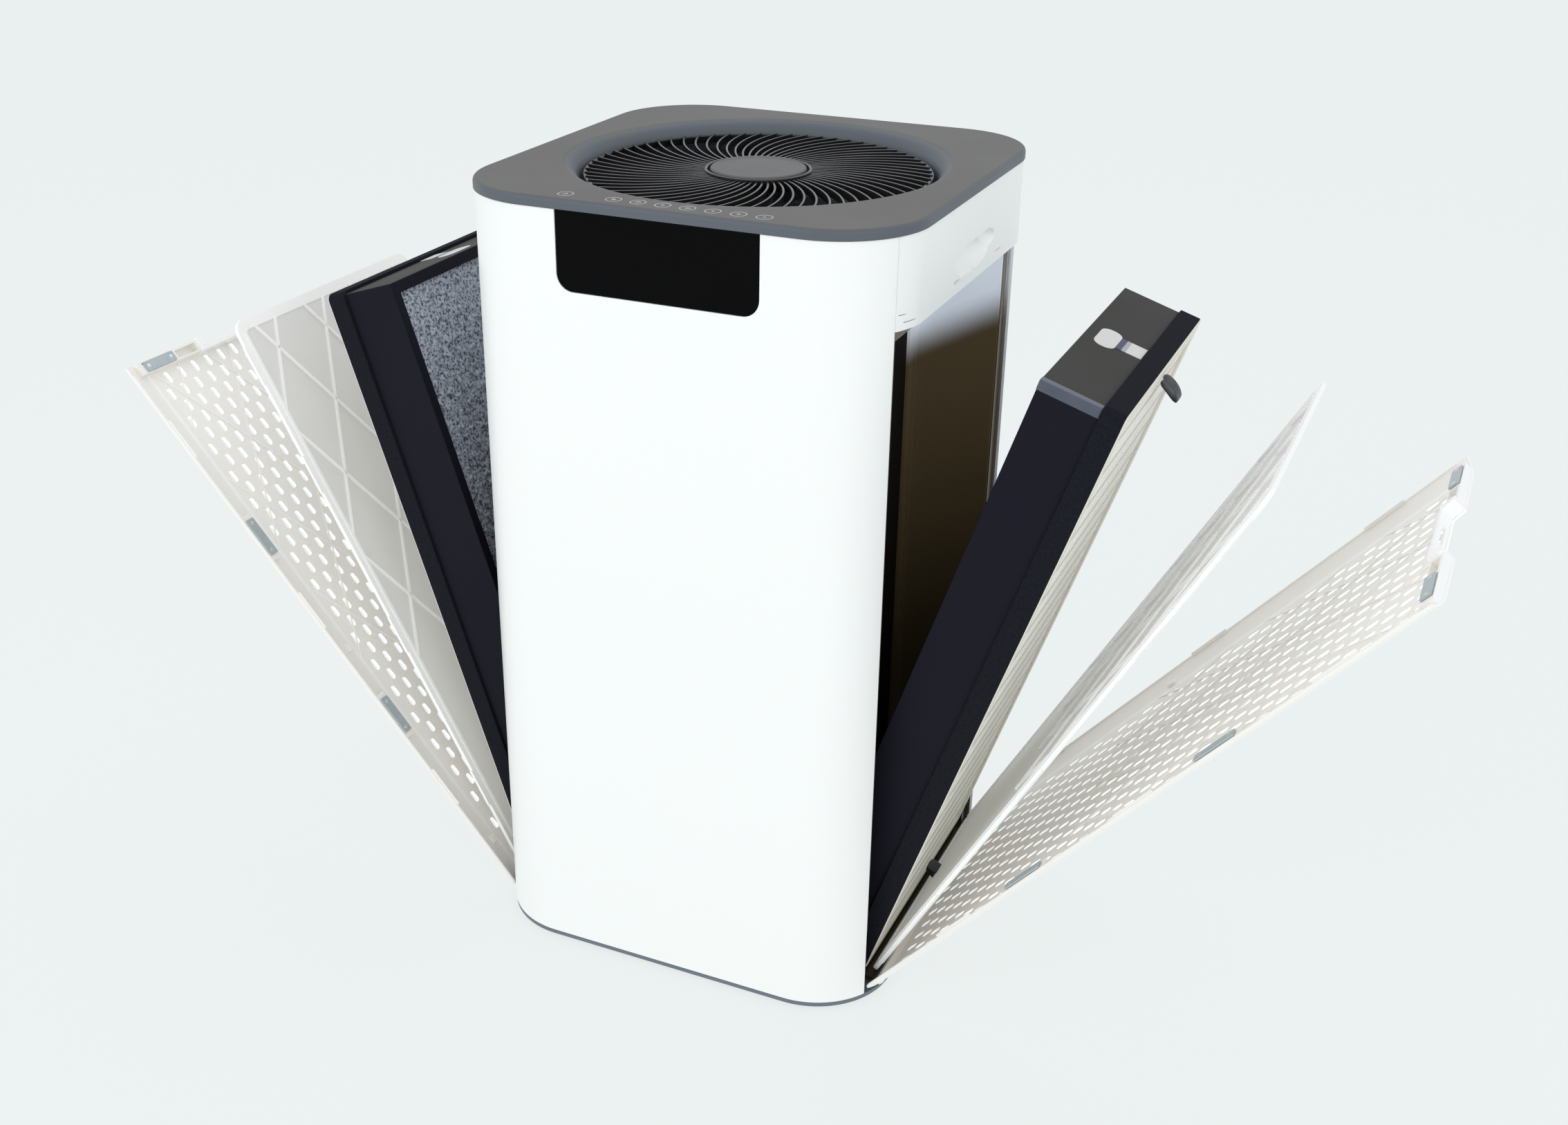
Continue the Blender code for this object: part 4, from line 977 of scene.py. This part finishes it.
# ------------------------------------------------------------------ pre-filters
# A cream plastic frame with a lattice of crossing diagonal ribs, small catch lips on its long
# edges, and a fine net welded to its inner face.
# Both creams glow a little: painted light for light let through the thin plastic.
cream = finish("cream_plastic_inside", (0.850, 0.822, 0.770), (0.885, 0.862, 0.815), (0.38, 0.48), drift=5.0,
               glow=0.045)
cream_white = finish("cream_plastic_outside", (0.925, 0.925, 0.905), (0.940, 0.940, 0.922), (0.32, 0.42),
                     drift=5.0, glow=0.03)
# Slot walls are painted bright white and glow strongly: painted light coming through the slots.
slot_painted_light = finish("slot_painted_light", (0.930, 0.930, 0.915), (0.950, 0.950, 0.935), (0.4, 0.5), glow=0.30)

PRE_X, PRE_Z = 0.1715, 0.0150
PRE_LENGTH, PRE_HALF, PRE_DEPTH, PRE_BORDER = 0.5580, 0.1280, 0.0038, 0.0100
LATTICE_WIDTH, LATTICE_HEIGHT = 0.0690, 0.1236


def lattice(name, low, high, thickness, middle, inner_x, outer_x):
    """Two families of straight ribs on the diagonals of equal diamonds, trimmed to a rectangle."""
    slope = math.atan2(LATTICE_WIDTH, LATTICE_HEIGHT)
    reach = (high[1] - low[1]) / math.cos(slope) + 0.1
    families = []
    for sign in (-1, 1):
        rib = block(name, (inner_x, -thickness / 2, -reach / 2), (outer_x, thickness / 2, reach / 2))
        rib.matrix_world = Matrix.Translation((0.0, *middle)) @ Matrix.Rotation(sign * slope, 4, "X")
        settle()
        copies = 14
        pick(rib, "FACE", lambda face: True)
        bpy.ops.transform.translate(value=(0.0, -LATTICE_WIDTH * (copies // 2), 0.0))
        put_down()
        work(rib, "ARRAY", count=copies, use_relative_offset=False, use_constant_offset=True,
             constant_offset_displace=(0.0, LATTICE_WIDTH, 0.0))
        for point, normal in (((0.0, low[0], 0.0), (0.0, -1.0, 0.0)),
                              ((0.0, high[0], 0.0), (0.0, 1.0, 0.0)),
                              ((0.0, 0.0, low[1]), (0.0, 0.0, -1.0)),
                              ((0.0, 0.0, high[1]), (0.0, 0.0, 1.0))):
            bisect(rib, point, normal, fill=True)
        families.append(rib)
    gather(*families)
    return families[0]




def edge_block(name, sign, low, high):
    """A box by one long edge: it is given for the rear edge, and a sign of -1 puts it by the front one."""
    near, far = sorted((sign * low[1], sign * high[1]))
    return block(name, (low[0], near, low[2]), (high[0], far, high[2]))


PRE_TOP = PRE_Z + PRE_LENGTH
pre = rounded_block("pre", (PRE_X - PRE_DEPTH, -PRE_HALF, PRE_Z), (PRE_X, PRE_HALF, PRE_TOP), 0.012, 8,
                    axis=0)
take_away(pre, rounded_block("pre_opening", (0.1, -PRE_HALF + PRE_BORDER, PRE_Z + PRE_BORDER),
                             (0.2, PRE_HALF - PRE_BORDER, PRE_TOP - PRE_BORDER), 0.004, 4, axis=0))
soften(pre, 0.0006)
ribs = lattice("pre_ribs", (-PRE_HALF + 0.009, PRE_Z + 0.009), (PRE_HALF - 0.009, PRE_TOP - 0.009),
               0.0022, (-0.0463, PRE_Z + 0.5240), PRE_X - PRE_DEPTH - 0.0008, PRE_X - 0.0003)
lips = []
for height in (0.075, 0.235, 0.395, 0.500):
    for sign in (-1, 1):
        lips.append(edge_block("lip", sign, (PRE_X - PRE_DEPTH, PRE_HALF, PRE_Z + height),
                               (PRE_X - 0.0012, PRE_HALF + 0.0016, PRE_Z + height + 0.036)))
rails = []
for sign in (-1, 1):
    for low, high in ((PRE_X - 0.0004, PRE_X + 0.0011),
                      (PRE_X - PRE_DEPTH - 0.0008, PRE_X - PRE_DEPTH + 0.0004)):
        rails.append(block("rail", (low, sign * 0.1215 - 0.0008, PRE_Z + 0.012),
                           (high, sign * 0.1215 + 0.0008, PRE_TOP - 0.012)))
gather(pre, ribs, *lips, *rails)
soften(pre, 0.0)
fit_both_sides(pre, "lattice_frame", [cream_white], ["prefilter_frame"], "prefilter")

NET_X = PRE_X - PRE_DEPTH + 0.0012
net = net_sheet("net", NET_X, (-PRE_HALF + 0.004, PRE_Z + 0.004), (PRE_HALF - 0.004, PRE_TOP - 0.004))
# The net glows a little: painted light for light let through it.
net_white = woven(finish("net_white", (0.70, 0.69, 0.67), (0.74, 0.73, 0.71), (0.5, 0.65), drift=30.0,
                         glow=0.09), 0.88, 0.95)
fit_both_sides(net, "fine_net", [net_white], ["prefilter_mesh"], "prefilter")

# ------------------------------------------------------------------ covers
# A white cover curved to the tower's corners along both long edges and pierced by rows of short
# upright slots. Inside it is cream, ribbed on the diagonal, with a finger notch at the top.
COVER_LOW_Z = 0.0078
COVER_HIGH_Z = COVER_LOW_Z + 0.5790
SLOT_PITCH_Y, SLOT_PITCH_Z = 0.0184, 0.0153
SLOT_ROWS, SLOT_COLUMNS = 36, 13

cover = open_wall("cover", COVER_LOW_Z, COVER_HIGH_Z)
bisect(cover, (0.0, SIDE_Y, 0.0), (0.0, 1.0, 0.0))
bisect(cover, (0.0, -SIDE_Y, 0.0), (0.0, -1.0, 0.0))
bisect(cover, (0.1, 0.0, 0.0), (-1.0, 0.0, 0.0))
work(cover, "SOLIDIFY", thickness=0.0022, offset=-1.0, use_even_offset=True)


def slot_rows(first_y, columns, first_z, rows):
    """Upright slots with round ends that flare inward, two row pitches apart, as a cutting tool."""
    bpy.ops.object.select_all(action="DESELECT")
    bpy.ops.mesh.primitive_cone_add(vertices=10, radius1=0.0042, radius2=0.0012, depth=0.0080,
                                    rotation=(0.0, math.radians(90.0), 0.0))
    tool = bpy.context.active_object
    settle()
    pick(tool, "VERT", lambda vert: vert.co.z > 0.0001)
    bpy.ops.transform.translate(value=(0.0, 0.0, 0.0058))
    put_down()
    tool.location = (0.1784, first_y, first_z)
    settle()
    for count, stride in ((columns, (0.0, SLOT_PITCH_Y, 0.0)), (rows, (0.0, 0.0, 2 * SLOT_PITCH_Z))):
        work(tool, "ARRAY", count=count, use_relative_offset=False, use_constant_offset=True,
             constant_offset_displace=stride)
    return tool


first_row = COVER_LOW_Z + 0.0200
even = slot_rows(-SLOT_PITCH_Y * (SLOT_COLUMNS - 1) / 2, SLOT_COLUMNS, first_row, SLOT_ROWS // 2)
odd = slot_rows(-SLOT_PITCH_Y * (SLOT_COLUMNS - 2) / 2, SLOT_COLUMNS - 1, first_row + SLOT_PITCH_Z,
                SLOT_ROWS // 2)
gather(even, odd)
notch = block("notch", (0.15, -0.0500, COVER_HIGH_Z - 0.0105), (0.20, 0.0500, COVER_HIGH_Z + 0.010))
pick(notch, "VERT", lambda vert: vert.co.z < COVER_HIGH_Z)
bpy.ops.transform.resize(value=(1.0, 0.84, 1.0))
put_down()
top_rail = block("top_rail", (0.1695, -0.1315, COVER_HIGH_Z - 0.0120),
                 (0.1780, 0.1315, COVER_HIGH_Z - 0.0003))
take_away(top_rail, *(edge_block("rail_hollow", sign, (0.1600, 0.0560, COVER_HIGH_Z - 0.0105),
                                 (0.1765, 0.0830, COVER_HIGH_Z - 0.0025)) for sign in (-1, 1)))
for sign in (-1, 1):
    take_away(top_rail, block("cap_recess", (0.1600, sign * 0.106 - 0.0195, COVER_HIGH_Z - 0.0030),
                              (0.1755, sign * 0.106 + 0.0195, COVER_HIGH_Z - 0.0012)))
lip = block("lip", (0.1669, -0.0532, COVER_HIGH_Z - 0.0131), (0.1790, 0.0532, COVER_HIGH_Z - 0.0002))
notch_copy = notch.copy()
notch_copy.data = notch.data.copy()
scene.collection.objects.link(notch_copy)
take_away(cover, even, notch)
add_on(top_rail, lip)
take_away(top_rail, notch_copy,
          block("latch_slot", (0.1712, -0.0160, COVER_HIGH_Z - 0.03), (0.1745, 0.0160, COVER_HIGH_Z + 0.01)))
soften(top_rail, 0.0005)
soften(cover, 0.0)
fittings = [block("low_rail", (0.1727, -0.1315, COVER_LOW_Z + 0.0003),
                  (0.1780, 0.1315, COVER_LOW_Z + 0.0060))]
for sign in (-1, 1):
    fittings.append(edge_block("edge_fold", sign, (0.1685, 0.1415, COVER_LOW_Z + 0.0010),
                               (0.1722, 0.1434, COVER_LOW_Z + 0.5700)))
    for height in (0.090, 0.290, 0.480):
        fittings.append(edge_block("catch_lip", sign, (0.1668, 0.1409, COVER_LOW_Z + height),
                                   (0.1700, 0.1425, COVER_LOW_Z + height + 0.040)))
    for height in (0.0400, 0.2600):
        fittings.append(edge_block("side_step", sign, (0.1735, 0.1240, COVER_LOW_Z + height),
                                   (0.1765, 0.1300, COVER_LOW_Z + height + 0.008)))
diagonals = lattice("cover_ribs", (-0.1230, COVER_LOW_Z + 0.006), (0.1230, COVER_HIGH_Z - 0.012), 0.0012,
                    (0.0970, COVER_LOW_Z + 0.5372), 0.1768, 0.1780)
for part in fittings:
    soften(part, 0.0004, 1)
gather(cover, top_rail, *fittings, diagonals)
soften(cover, 0.0)
cover.data.materials.append(cream)
cover.data.materials.append(cream_white)
cover.data.materials.append(slot_painted_light)
for face in cover.data.polygons:
    across = max(abs(face.center.y) - (HALF - CORNER), 0.0)
    from_axis = math.hypot(face.center.x - (HALF - CORNER), across)
    outer_skin = from_axis > CORNER - 0.0006
    notch_wall = abs(face.center.y) < 0.0535 and face.center.z > COVER_HIGH_Z - 0.0135
    end_wall = face.center.z > COVER_HIGH_Z - 0.0006 or face.center.z < COVER_LOW_Z + 0.0004
    # Slot walls take the painted light, and the rib tops take the whiter outside finish as a painted
    # highlight.
    slot_wall = 0.1779 < face.center.x < 0.1799 and abs(face.normal.x) < 0.9 and not end_wall
    rib_top_highlight = face.center.x < 0.1769 and face.normal.x < -0.9 and face.center.x > 0.1766
    face.material_index = 2 if slot_wall else 1 if outer_skin or notch_wall or end_wall or rib_top_highlight else 0
fit_both_sides(cover, "slotted_cover", [], ["cover"], "cover")

steel_plate = finish("steel_plate", (0.36, 0.42, 0.44), (0.50, 0.56, 0.57), (0.28, 0.45), drift=120.0,
                     grain=2400.0, bump=0.15, metallic=0.35)
rivet_steel = finish("rivet_steel", (0.62, 0.65, 0.65), (0.72, 0.74, 0.74), (0.2, 0.3), metallic=0.8)


def magnet_plate(low, high, long_axis):
    """A pressed steel plate with two rivets through it."""
    plate = rounded_block("magnet_plate", low, high, 0.0010, 2, axis=0)
    soften(plate, 0.0002, 1)
    middle = (Vector(low) + Vector(high)) / 2
    rivets = []
    for sign in (-1, 1):
        bpy.ops.object.select_all(action="DESELECT")
        bpy.ops.mesh.primitive_uv_sphere_add(segments=16, ring_count=8, radius=0.0021)
        rivet = bpy.context.active_object
        rivet.scale = (0.15, 1.0, 1.0)
        spot = Vector((low[0], middle.y, middle.z))
        spot[long_axis] += sign * 0.0145
        rivet.location = spot
        settle()
        rivet.data.materials.append(rivet_steel)
        rivets.append(rivet)
    plate.data.materials.append(steel_plate)
    gather(plate, *rivets)
    soften(plate, 0.0)
    return plate


MAGNET_LENGTH, MAGNET_WIDTH, MAGNET_THICK = 0.038, 0.0095, 0.0015


def fit_on_cover(piece, side, name, finishes, nodes=()):
    """Leans a piece modelled on the closed right side out with its cover, and fits it on one side."""
    lean_out(piece, "cover")
    if side == "left":
        turn_half_round(piece)
    fit(piece, f"{side}_{name}", f"{side}_cover", finishes, [f"{side}_{node}" for node in nodes])


for side, front_way in (("right", -1), ("left", 1)):
    for end, sign in (("front", front_way), ("rear", -front_way)):
        low = (0.1692 - MAGNET_THICK, sign * 0.106 - MAGNET_LENGTH / 2, COVER_HIGH_Z - 0.0112)
        high = (0.1692, low[1] + MAGNET_LENGTH, low[2] + MAGNET_WIDTH)
        fit_on_cover(magnet_plate(low, high, 1), side, f"magnet_plate_{end}_top", [],
                     [f"cover_magnet_{end}_top"])
    for row, height in ((1, 0.190), (2, 0.390)):
        low = (0.1682 - MAGNET_THICK, front_way * 0.1372 - MAGNET_WIDTH / 2,
               COVER_LOW_Z + height - MAGNET_LENGTH / 2)
        high = (0.1682, low[1] + MAGNET_WIDTH, low[2] + MAGNET_LENGTH)
        fit_on_cover(magnet_plate(low, high, 2), side, f"magnet_plate_front_{row}", [],
                     [f"cover_magnet_front_{row}"])
        seat = edge_block("magnet_seat", front_way, (0.1686, 0.1315, low[2] - 0.005),
                          (0.1712, 0.1420, high[2] + 0.005))
        soften(seat, 0.0004, 1)
        fit_on_cover(seat, side, f"magnet_seat_{row}", [cream])
